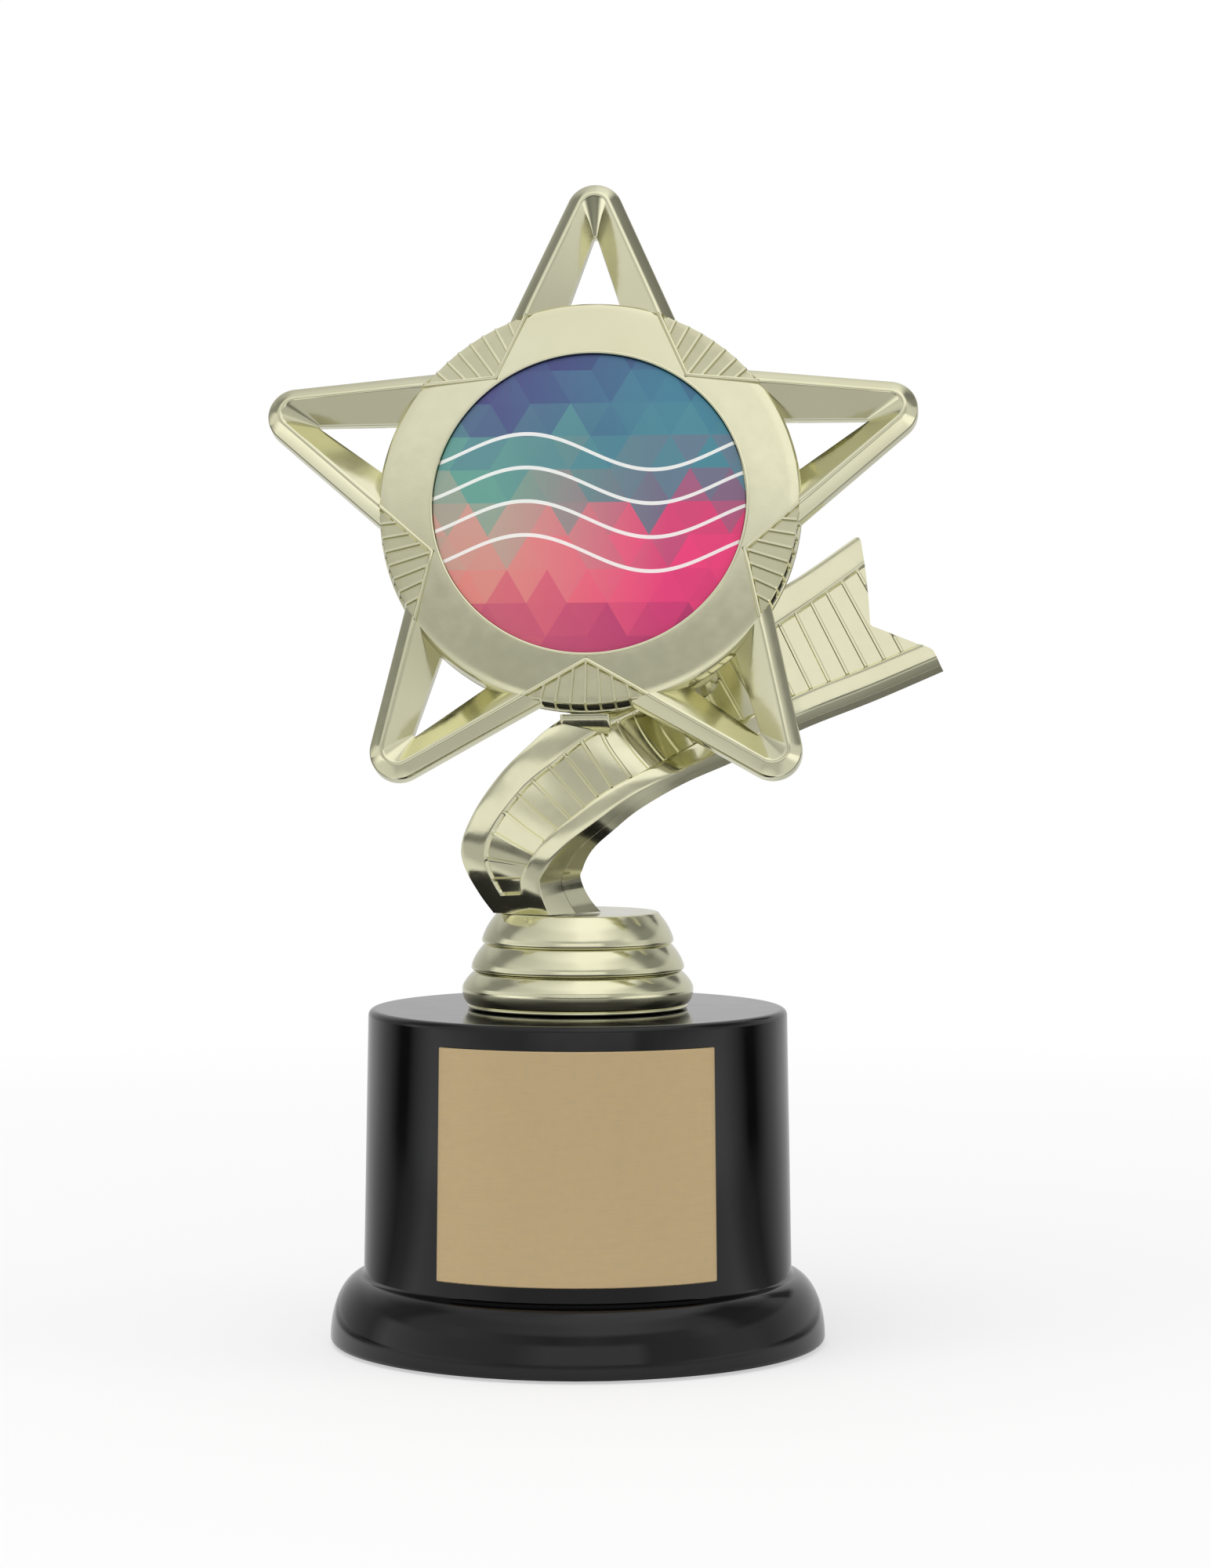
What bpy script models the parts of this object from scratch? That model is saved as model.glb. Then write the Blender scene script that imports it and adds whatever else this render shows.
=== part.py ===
"""Star trophy: a metallised star on a ribbon stem, bolted to a weighted round base.

Run with: blender --background --python part.py
Sizes below are in millimetres; the model is built in metres, +Z up, front at -Y,
with the origin at the middle of the felt pad's underside, on the axis of the tie rod.
"""

import math

import bmesh
import bpy
import numpy as np
from mathutils import Matrix, Vector

MM = 0.001

# Fits
SEAT_GAP = 0.15
BORE_CLEARANCE = 0.3
CUTTER_OVERRUN = 1.0

# Base: weighted shell with a flared foot
BASE_HEIGHT = 55.0
BASE_TOP_RADIUS = 34.4
BASE_WAIST_RADIUS = 35.2
BASE_WAIST_Z = 11.4
BASE_TOP_EDGE = 1.0
FOOT_SPREAD = 5.5
FOOT_EDGE_Z = 1.2
FOOT_EDGE_DROP = 0.8
BASE_ROOF = 2.5
BASE_SIDE_WALL = 2.0

# Felt and cover under the shell
FELT_MARGIN = 2.7
FELT_THICKNESS = 1.2
COVER_THICKNESS = 1.6

# Engraving plate and its tape
PLATE_WIDTH = 47.6
PLATE_HEIGHT = 37.1
PLATE_BOTTOM_Z = 14.5
PLATE_THICKNESS = 0.5
PLATE_TAPE_THICKNESS = 0.2
PLATE_TAPE_MARGIN = 1.5

# Tie rod and its hardware
ROD_RADIUS = 3.175
ROD_END_ROOM = 1.05
ROD_END = 0.5
ROD_GRIP = 3.45
NUT_ACROSS_FLATS = 11.1
NUT_HEIGHT = 4.6
WASHER_RADIUS = 9.0
WASHER_THICKNESS = 1.5
LOCK_WASHER_RADIUS = 5.4
LOCK_WASHER_THICKNESS = 1.3

# Collar: a skirt on the base and a two-tier cap over it
SKIRT_HEIGHT = 6.0
SKIRT_FOOT_RADIUS = 17.5
SKIRT_BULGE_RADIUS = 19.1
SKIRT_BULGE_HEIGHT = 3.1
SKIRT_TOP_RADIUS = 17.3
SPIGOT_RADIUS = 10.0
LOWER_TIER_RADIUS = 17.4
LOWER_TIER_HEIGHT = 4.4
UPPER_TIER_RADIUS = 15.6
UPPER_TIER_HEIGHT = 5.1
COLLAR_TOP_RADIUS = 12.8
COLLAR_TOP_EDGE = 0.6
CAP_ROOF = 2.5

# Star plane: the point above the collar where the star stands on its neck, and its lean and turn
STAR_SEAT_X = 1.2
STAR_SEAT_Y = -10.1
STAR_SEAT_RISE = 33.6
STAR_LEAN_DEG = 17.0
STAR_TURN_DEG = -4.9
STAR_ROLL_DEG = 0.5

# Star outline and relief
STAR_ARMS = 5
STAR_SHARP_RADIUS = 63.9
ARM_HALF_ANGLE_DEG = 23.7
STAR_TIP_RADIUS = 4.75
RIM_THICKNESS = 0.6
RIDGE_HEIGHT = 3.6
OUTER_FLANK = 2.0
RIDGE_LAND = 0.5
INNER_FLANK = 3.4
OPENING_HALF_ANGLE_DEG = 18.3
BACK_THICKNESS = 1.8
BACK_CHAMFER = 1.5

# Medallion ring and the insert that it holds
RING_RADIUS = 34.7
RING_HEIGHT = 3.45
RING_BEVEL = 0.5
RING_LIP = 0.5
PETAL_EDGE_HEIGHT = 3.05
INSERT_RADIUS = 25.4
INSERT_THICKNESS = 0.6
INSERT_TAPE_THICKNESS = 0.3
INSERT_TAPE_MARGIN = 2.0
RECESS_DEPTH = 2.2

# Ribbon above the collar: points on its two front edges from foot to tail, and the way to its back
RIBBON_UPPER_EDGE = (
    (-9.5, 2.5, -4.8), (-15.2, -6.0, 3.5), (-18.1, -11.0, 10.2), (-17.8, -12.0, 16.3),
    (-14.3, -11.0, 22.6), (-9.1, -10.0, 27.3), (-2.5, -8.0, 31.8), (11.9, -3.0, 40.3),
    (24.8, 1.5, 48.0), (36.5, 4.0, 55.1), (46.6, 6.5, 62.1),
)
RIBBON_LOWER_EDGE = (
    (-2.5, -3.5, -4.8), (-6.0, -10.0, 4.2), (-4.7, -12.5, 8.1), (-1.8, -13.0, 11.6),
    (3.0, -12.0, 15.3), (8.0, -10.5, 18.8), (15.7, -8.0, 22.8), (24.7, -3.0, 26.8),
    (36.3, 1.5, 32.1), (48.2, 4.0, 36.3), (60.3, 6.5, 41.0),
)
RIBBON_TO_BACK = (
    (6.0, 7.0, 0.0), (5.5, 8.0, 0.5), (4.2, 7.5, -0.5), (3.0, 6.0, -0.5), (1.5, 5.0, -1.0),
    (0.8, 4.5, -1.0), (0.4, 4.0, -0.9), (0.3, 4.0, -0.9), (0.3, 4.0, -0.9), (0.3, 4.0, -0.9),
    (0.3, 4.0, -0.9),
)
RIBBON_BORDER = 3.2
RIBBON_RECESS = 0.8
RIBBON_STEP = 0.4
RIBBON_DRAFT = 1.7
TAIL_NOTCH_DEPTH = 8.0
TAIL_NOTCH_PLACE = 0.575
TAIL_LENGTH = 16.0
RIBBON_STEPS = 44

# Blocks that join the star to the ribbon
NECK_WIDTH = 10.4
NECK_OFFSET = 1.2
NECK_HEIGHT = 2.0
NECK_DEPTH = 3.4
BOSS_RADIUS = 3.6
BOSS_LENGTH = 7.0
BOSS_RIM_INSET = 2.5
BOSS_PLACE_DEG = -57.0

# Facets of round pieces, and the Boolean solver that closes the star where EXACT does not
PLATE_COLUMNS = 25
STAR_SOLVER = "MANIFOLD"
TURN_STEPS = 48
SMALL_STEPS = 24
ARC_STEPS = 7

# Levels and radii that follow from the sizes above
FOOT_RADIUS = BASE_WAIST_RADIUS + FOOT_SPREAD
CAVITY_RADIUS = min(BASE_TOP_RADIUS, BASE_WAIST_RADIUS) - BASE_SIDE_WALL
FELT_RADIUS = FOOT_RADIUS - FELT_MARGIN
SHELL_BOTTOM_Z = FOOT_EDGE_Z - FOOT_EDGE_DROP
COVER_BOTTOM_Z = FELT_THICKNESS + SEAT_GAP
COVER_TOP_Z = COVER_BOTTOM_Z + COVER_THICKNESS
REBATE_TOP_Z = COVER_TOP_Z + SEAT_GAP
REBATE_RADIUS = FELT_RADIUS + BORE_CLEARANCE
ROD_BOTTOM_Z = COVER_TOP_Z + ROD_END_ROOM
ROD_NUT_BOTTOM_Z = ROD_BOTTOM_Z + ROD_END
LOCK_WASHER_BOTTOM_Z = ROD_NUT_BOTTOM_Z + NUT_HEIGHT + SEAT_GAP
WASHER_BOTTOM_Z = LOCK_WASHER_BOTTOM_Z + LOCK_WASHER_THICKNESS + SEAT_GAP
WEIGHT_BOTTOM_Z = WASHER_BOTTOM_Z + WASHER_THICKNESS + SEAT_GAP
SHELL_ROOF_Z = BASE_HEIGHT - BASE_ROOF
WEIGHT_TOP_Z = SHELL_ROOF_Z - SEAT_GAP
WEIGHT_RADIUS = CAVITY_RADIUS - BORE_CLEARANCE
ROD_HOLE_RADIUS = ROD_RADIUS + BORE_CLEARANCE
SKIRT_BOTTOM_Z = BASE_HEIGHT + SEAT_GAP
SKIRT_TOP_Z = SKIRT_BOTTOM_Z + SKIRT_HEIGHT
CAP_BOTTOM_Z = SKIRT_TOP_Z + SEAT_GAP
LOWER_TIER_TOP_Z = CAP_BOTTOM_Z + LOWER_TIER_HEIGHT
COLLAR_TOP_Z = LOWER_TIER_TOP_Z + UPPER_TIER_HEIGHT
POCKET_TOP_Z = COLLAR_TOP_Z - CAP_ROOF
CAPTIVE_NUT_BOTTOM_Z = POCKET_TOP_Z - SEAT_GAP - NUT_HEIGHT
ROD_TOP_Z = CAPTIVE_NUT_BOTTOM_Z + ROD_GRIP
RECESS_FLOOR = RING_HEIGHT - RECESS_DEPTH
RECESS_RADIUS = INSERT_RADIUS + BORE_CLEARANCE
ARM_HALF_ANGLE = math.radians(ARM_HALF_ANGLE_DEG)
ARM_STEP = 2 * math.pi / STAR_ARMS
STAR_BACK_FRONT = -RIM_THICKNESS - SEAT_GAP
STAR_BACK_REAR = STAR_BACK_FRONT - BACK_THICKNESS
STAR_CORNER_ANGLE = ARM_HALF_ANGLE + ARM_STEP / 2
OPENING_INSET = OUTER_FLANK + RIDGE_LAND
OPENING_HALF_ANGLE = math.radians(OPENING_HALF_ANGLE_DEG)
NECK_LEFT = NECK_OFFSET - NECK_WIDTH / 2
NECK_RIGHT = NECK_OFFSET + NECK_WIDTH / 2


def clear_scene():
    """Removes whatever the scene holds."""
    for item in list(bpy.data.objects):
        bpy.data.objects.remove(item, do_unlink=True)


def finish(name, colour, roughness, metallic):
    """A Principled material."""
    material = bpy.data.materials.new(name)
    material.use_nodes = True
    shader = material.node_tree.nodes["Principled BSDF"]
    shader.inputs["Base Color"].default_value = (*colour, 1.0)
    shader.inputs["Roughness"].default_value = roughness
    shader.inputs["Metallic"].default_value = metallic
    return material


def add_object(name, bm, material, parent, smooth_angle=30.0):
    """Turns a bmesh in millimetres into an object in metres under its parent."""
    bmesh.ops.remove_doubles(bm, verts=bm.verts, dist=1e-5)
    bmesh.ops.recalc_face_normals(bm, faces=bm.faces)
    bmesh.ops.triangulate(bm, faces=bm.faces)
    bmesh.ops.scale(bm, vec=Vector((MM, MM, MM)), verts=bm.verts)
    mesh = bpy.data.meshes.new(name)
    bm.to_mesh(mesh)
    bm.free()
    mesh.shade_smooth()
    mesh.set_sharp_from_angle(angle=math.radians(smooth_angle))
    mesh.materials.append(material)
    item = bpy.data.objects.new(name, mesh)
    bpy.context.scene.collection.objects.link(item)
    item.parent = parent
    return item


def add_empty(name, parent=None, matrix=None):
    """An empty that carries a group of pieces."""
    empty = bpy.data.objects.new(name, None)
    bpy.context.scene.collection.objects.link(empty)
    empty.parent = parent
    if matrix is not None:
        empty.matrix_local = matrix
    return empty


def boolean(target, tool, operation, solver="EXACT"):
    """Cuts or joins a helper into a piece and keeps the helper out of the model."""
    tool.hide_render = True
    tool.display_type = "WIRE"
    modifier = target.modifiers.new(operation.lower() + "_" + tool.name, "BOOLEAN")
    modifier.operation = operation
    modifier.solver = solver
    modifier.object = tool


def arc(centre, radii, start_deg, end_deg, steps=ARC_STEPS):
    """Points of an elliptical arc in the plane of a turned profile."""
    angles = np.radians(np.linspace(start_deg, end_deg, steps))
    return [(centre[0] + radii[0] * math.cos(a), centre[1] + radii[1] * math.sin(a)) for a in angles]


def turned(profile, steps=TURN_STEPS):
    """Spins a closed profile of (radius, height) points about Z."""
    bm = bmesh.new()
    verts = [bm.verts.new((r, 0.0, z)) for r, z in profile]
    edges = [bm.edges.new((verts[i], verts[(i + 1) % len(verts)])) for i in range(len(verts))]
    on_axis = [e for e in edges if max(abs(v.co.x) for v in e.verts) < 1e-9]
    kept = [e for e in edges if e not in on_axis]
    bmesh.ops.delete(bm, geom=on_axis, context="EDGES_FACES")
    kept = [e for e in kept if e.is_valid]
    bmesh.ops.spin(bm, geom=[*bm.verts, *kept], cent=(0, 0, 0), axis=(0, 0, 1), angle=2 * math.pi,
                   steps=steps, use_merge=True)
    return bm


def tube(inner, outer, bottom, top, steps=TURN_STEPS):
    """A plain ring between two radii, or a disc where the inner radius is nothing."""
    return turned([(inner, top), (outer, top), (outer, bottom), (inner, bottom)], steps)


def loft(outlines):
    """Skins closed outlines of equal length, given as (points, level), and caps both ends."""
    bm = bmesh.new()
    rings = [[bm.verts.new((x, y, level)) for x, y in points] for points, level in outlines]
    for low, high in zip(rings, rings[1:]):
        for i in range(len(low)):
            j = (i + 1) % len(low)
            bm.faces.new((low[i], low[j], high[j], high[i]))
    bm.faces.new(rings[0][::-1])
    bm.faces.new(rings[-1])
    return bm


def hexagon(across_flats):
    """Corners of a hexagon about the origin."""
    radius = across_flats / 2 / math.cos(math.pi / 6)
    return [(radius * math.cos(i * math.pi / 3), radius * math.sin(i * math.pi / 3)) for i in range(6)]


def base_outer_radius(z):
    """Radius of the drafted wall above the waist."""
    share = (z - BASE_WAIST_Z) / (BASE_HEIGHT - BASE_WAIST_Z)
    return BASE_WAIST_RADIUS + (BASE_TOP_RADIUS - BASE_WAIST_RADIUS) * share


def make_base_shell(parent, black):
    """Hollow shell: flat top, drafted wall, quarter-round foot and a rebate for the cover."""
    edge_z = BASE_HEIGHT - BASE_TOP_EDGE
    edge_r = base_outer_radius(edge_z) - BASE_TOP_EDGE
    profile = [(ROD_HOLE_RADIUS, BASE_HEIGHT)]
    profile += arc((edge_r, edge_z), (BASE_TOP_EDGE, BASE_TOP_EDGE), 90, 0, 4)
    profile += arc((BASE_WAIST_RADIUS, FOOT_EDGE_Z), (FOOT_SPREAD, BASE_WAIST_Z - FOOT_EDGE_Z), 90, 0, 9)
    profile += arc((FOOT_RADIUS - FOOT_EDGE_DROP, FOOT_EDGE_Z), (FOOT_EDGE_DROP, FOOT_EDGE_DROP), -30, -90, 3)
    profile += [(REBATE_RADIUS, SHELL_BOTTOM_Z), (REBATE_RADIUS, REBATE_TOP_Z)]
    profile += [(CAVITY_RADIUS, REBATE_TOP_Z), (CAVITY_RADIUS, SHELL_ROOF_Z)]
    profile += [(ROD_HOLE_RADIUS, SHELL_ROOF_Z)]
    add_object("base_shell", turned(profile), black, parent)


def make_base_filling(parent, plaster, board, felt):
    """Cast weight, cover board and felt pad."""
    add_object("base_weight", tube(ROD_HOLE_RADIUS, WEIGHT_RADIUS, WEIGHT_BOTTOM_Z, WEIGHT_TOP_Z),
               plaster, parent)
    add_object("bottom_cover", tube(0.0, FELT_RADIUS, COVER_BOTTOM_Z, COVER_TOP_Z), board, parent)
    add_object("felt_pad", tube(0.0, FELT_RADIUS, 0.0, FELT_THICKNESS), felt, parent)


def wrapped_sheet(width, bottom, top, gap, thickness, columns):
    """A sheet bent round the front of the drafted wall, at a gap from it."""
    bm = bmesh.new()
    half = width / 2 / (base_outer_radius((bottom + top) / 2) + gap)
    layers = []
    for lift in (gap, gap + thickness):
        layer = []
        for z in (bottom, top):
            radius = base_outer_radius(z) + lift
            angles = np.linspace(-half, half, columns)
            layer.append([bm.verts.new((radius * math.sin(a), -radius * math.cos(a), z)) for a in angles])
        layers.append(layer)
    (in_low, in_high), (out_low, out_high) = layers
    for i in range(columns - 1):
        bm.faces.new((out_low[i], out_low[i + 1], out_high[i + 1], out_high[i]))
        bm.faces.new((in_low[i + 1], in_low[i], in_high[i], in_high[i + 1]))
        bm.faces.new((in_low[i], in_low[i + 1], out_low[i + 1], out_low[i]))
        bm.faces.new((out_high[i], out_high[i + 1], in_high[i + 1], in_high[i]))
    for i in (0, columns - 1):
        bm.faces.new((in_low[i], out_low[i], out_high[i], in_high[i]))
    return bm


def make_plate(parent, brass, tape):
    """Engraving plate on its adhesive tape."""
    low = PLATE_BOTTOM_Z
    high = PLATE_BOTTOM_Z + PLATE_HEIGHT
    margin = PLATE_TAPE_MARGIN
    tape_sheet = wrapped_sheet(PLATE_WIDTH - 2 * margin, low + margin, high - margin, SEAT_GAP,
                               PLATE_TAPE_THICKNESS, PLATE_COLUMNS)
    add_object("plate_tape", tape_sheet, tape, parent)
    plate_gap = 2 * SEAT_GAP + PLATE_TAPE_THICKNESS
    plate_sheet = wrapped_sheet(PLATE_WIDTH, low, high, plate_gap, PLATE_THICKNESS, PLATE_COLUMNS)
    add_object("engraving_plate", plate_sheet, brass, parent)


def make_hardware(parent, steel):
    """Tie rod from the collar's captive nut down to the washers and nut under the weight."""
    add_object("tie_rod", tube(0.0, ROD_RADIUS, ROD_BOTTOM_Z, ROD_TOP_Z, SMALL_STEPS), steel, parent)
    hole = ROD_RADIUS + SEAT_GAP
    washers = (("flat_washer", WASHER_RADIUS, WASHER_BOTTOM_Z, WASHER_THICKNESS),
               ("lock_washer", LOCK_WASHER_RADIUS, LOCK_WASHER_BOTTOM_Z, LOCK_WASHER_THICKNESS))
    for name, radius, bottom, thickness in washers:
        add_object(name, tube(hole, radius, bottom, bottom + thickness, SMALL_STEPS), steel, parent)
    corners = hexagon(NUT_ACROSS_FLATS)
    for name, bottom in (("rod_nut", ROD_NUT_BOTTOM_Z), ("captive_nut", CAPTIVE_NUT_BOTTOM_Z)):
        top = bottom + NUT_HEIGHT
        nut = add_object(name, loft([(corners, bottom), (corners, top)]), steel, parent)
        bore = tube(0.0, hole, bottom - CUTTER_OVERRUN, top + CUTTER_OVERRUN, SMALL_STEPS)
        boolean(nut, add_object(name + "_bore", bore, steel, parent), "DIFFERENCE")


def make_collar(parent, gold):
    """Skirt on the base, and the two-tier cap whose spigot passes through it."""
    bulge_z = SKIRT_BOTTOM_Z + SKIRT_BULGE_HEIGHT
    bore = SPIGOT_RADIUS + BORE_CLEARANCE
    skirt = [(bore, SKIRT_TOP_Z), (SKIRT_TOP_RADIUS, SKIRT_TOP_Z), (SKIRT_BULGE_RADIUS, bulge_z)]
    skirt += [(SKIRT_FOOT_RADIUS, SKIRT_BOTTOM_Z), (bore, SKIRT_BOTTOM_Z)]
    add_object("collar_skirt", turned(skirt), gold, parent)
    cap = [(0.0, COLLAR_TOP_Z)]
    cap += arc((COLLAR_TOP_RADIUS - COLLAR_TOP_EDGE, COLLAR_TOP_Z - COLLAR_TOP_EDGE),
               (COLLAR_TOP_EDGE, COLLAR_TOP_EDGE), 90, 20, 3)
    cap += [(UPPER_TIER_RADIUS, LOWER_TIER_TOP_Z + COLLAR_TOP_EDGE), (UPPER_TIER_RADIUS, LOWER_TIER_TOP_Z)]
    cap += [(LOWER_TIER_RADIUS, CAP_BOTTOM_Z + COLLAR_TOP_EDGE), (LOWER_TIER_RADIUS, CAP_BOTTOM_Z)]
    cap += [(SPIGOT_RADIUS, CAP_BOTTOM_Z), (SPIGOT_RADIUS, SKIRT_BOTTOM_Z), (0.0, SKIRT_BOTTOM_Z)]
    body = add_object("collar_cap", turned(cap), gold, parent)
    corners = hexagon(NUT_ACROSS_FLATS + 2 * SEAT_GAP)
    pocket = loft([(corners, SKIRT_BOTTOM_Z - CUTTER_OVERRUN), (corners, POCKET_TOP_Z)])
    boolean(body, add_object("nut_pocket", pocket, gold, parent), "DIFFERENCE")


def star_corner_radius(inset):
    """Distance from the centre to the corner between two arms."""
    return (STAR_SHARP_RADIUS * math.sin(ARM_HALF_ANGLE) - inset) / math.sin(STAR_CORNER_ANGLE)


def star_reach_over_neck():
    """How far below its centre the star or its ring reaches within the width of the neck."""
    half_width = max(abs(NECK_LEFT), abs(NECK_RIGHT))
    return max(RING_RADIUS, star_corner_radius(0.0) + half_width / math.tan(STAR_CORNER_ANGLE))


def star_outline(inset):
    """Rounded star outline in its own plane, moved inwards by an inset."""
    inner = star_corner_radius(inset)
    tip_centre = STAR_SHARP_RADIUS - STAR_TIP_RADIUS / math.sin(ARM_HALF_ANGLE)
    sweep = math.pi / 2 - ARM_HALF_ANGLE
    points = []
    for arm in range(STAR_ARMS):
        axis = math.pi / 2 + arm * ARM_STEP
        for a in np.linspace(axis - sweep, axis + sweep, ARC_STEPS):
            points.append((tip_centre * math.cos(axis) + (STAR_TIP_RADIUS - inset) * math.cos(a),
                           tip_centre * math.sin(axis) + (STAR_TIP_RADIUS - inset) * math.sin(a)))
        corner = axis + ARM_STEP / 2
        points.append((inner * math.cos(corner), inner * math.sin(corner)))
    return points


def arm_opening(arm, rise):
    """Triangle inside one arm, at a rise from 0 at the foot of its inner walls to 1 at its ridge."""
    axis = math.pi / 2 + arm * ARM_STEP
    foot_apex = STAR_SHARP_RADIUS - (OPENING_INSET + INNER_FLANK) / math.sin(ARM_HALF_ANGLE)
    ridge_apex = STAR_SHARP_RADIUS - OPENING_INSET / math.sin(ARM_HALF_ANGLE)
    foot_width = (foot_apex - INSERT_RADIUS) * math.tan(OPENING_HALF_ANGLE)
    ridge_width = (ridge_apex - INSERT_RADIUS) * math.tan(ARM_HALF_ANGLE)
    apex = foot_apex + (ridge_apex - foot_apex) * rise
    half_width = foot_width + (ridge_width - foot_width) * rise
    corners = [(INSERT_RADIUS, -half_width), (apex, 0.0), (INSERT_RADIUS, half_width)]
    return [(r * math.cos(axis) - s * math.sin(axis), r * math.sin(axis) + s * math.cos(axis))
            for r, s in corners]


def cut_arm_openings(body, levels, material, parent):
    """Opens each arm between its bars, with walls that go through a rise at each level."""
    for arm in range(STAR_ARMS):
        outlines = [(arm_opening(arm, rise), level) for rise, level in levels]
        cutter = add_object(f"{body.name}_opening_{arm}", loft(outlines), material, parent)
        boolean(body, cutter, "DIFFERENCE", STAR_SOLVER)


def make_star_front(plane, gold):
    """Ridged arms round a ring with raised fans between the arms and sloping petals inside them."""
    front = add_object("star_front", loft([
        (star_outline(0.0), -RIM_THICKNESS), (star_outline(0.0), 0.0),
        (star_outline(OUTER_FLANK), RIDGE_HEIGHT)]), gold, plane)
    ring_bottom = SEAT_GAP - RIM_THICKNESS
    rim = [(RING_RADIUS, 0.0), (RING_RADIUS, ring_bottom), (0.0, ring_bottom)]
    fans = [(0.0, RING_HEIGHT), (RING_RADIUS - RING_BEVEL, RING_HEIGHT)] + rim
    boolean(front, add_object("ring_fans", turned(fans), gold, plane), "UNION", STAR_SOLVER)
    low = -RIM_THICKNESS - CUTTER_OVERRUN
    high = RIDGE_HEIGHT + CUTTER_OVERRUN
    cut_arm_openings(front, [(0.0, low), (0.0, 0.0), (high / RIDGE_HEIGHT, high)], gold, plane)
    petal_edge_radius = RING_RADIUS - RING_BEVEL * PETAL_EDGE_HEIGHT / RING_HEIGHT
    petals = [(0.0, RING_HEIGHT), (RECESS_RADIUS + RING_LIP, RING_HEIGHT)]
    petals += [(petal_edge_radius, PETAL_EDGE_HEIGHT)] + rim
    boolean(front, add_object("ring_petals", turned(petals), gold, plane), "UNION", STAR_SOLVER)
    recess = tube(0.0, RECESS_RADIUS, RECESS_FLOOR, high)
    boolean(front, add_object("insert_recess", recess, gold, plane), "DIFFERENCE", STAR_SOLVER)


def make_star_back(plane, gold):
    """Flat cover with a chamfered rear edge that closes the front moulding."""
    edge = STAR_BACK_REAR + BACK_CHAMFER
    back = add_object("star_back", loft([
        (star_outline(BACK_CHAMFER), STAR_BACK_REAR), (star_outline(0.0), edge),
        (star_outline(0.0), STAR_BACK_FRONT)]), gold, plane)
    cut_levels = (STAR_BACK_REAR - CUTTER_OVERRUN, STAR_BACK_FRONT + CUTTER_OVERRUN)
    cut_arm_openings(back, [(0.0, level) for level in cut_levels], gold, plane)
    disc = [(0.0, STAR_BACK_FRONT), (RING_RADIUS, STAR_BACK_FRONT), (RING_RADIUS, edge)]
    disc += [(RING_RADIUS - BACK_CHAMFER, STAR_BACK_REAR), (0.0, STAR_BACK_REAR)]
    boolean(back, add_object("back_disc", turned(disc), gold, plane), "UNION", STAR_SOLVER)


def make_insert(plane, printed, tape):
    """Printed disc on its tape in the ring's recess."""
    tape_bottom = RECESS_FLOOR + SEAT_GAP
    tape_top = tape_bottom + INSERT_TAPE_THICKNESS
    add_object("insert_tape", tube(0.0, INSERT_RADIUS - INSERT_TAPE_MARGIN, tape_bottom, tape_top),
               tape, plane)
    disc_bottom = tape_top + SEAT_GAP
    add_object("insert_disc", tube(0.0, INSERT_RADIUS, disc_bottom, disc_bottom + INSERT_THICKNESS),
               printed, plane)


def smooth_path(points, places):
    """Catmull-Rom curve through points, read at places counted in points."""
    points = np.array(points, float)
    padded = np.vstack([2 * points[0] - points[1], points, 2 * points[-1] - points[-2]])
    first = np.clip(np.floor(places).astype(int), 0, len(points) - 2)
    t = (places - first)[:, None]
    before, start, end, after = (padded[first + i] for i in range(4))
    return 0.5 * (2 * start + (end - before) * t + (2 * before - 5 * start + 4 * end - after) * t**2
                  + (3 * start - before - 3 * end + after) * t**3)


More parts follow.
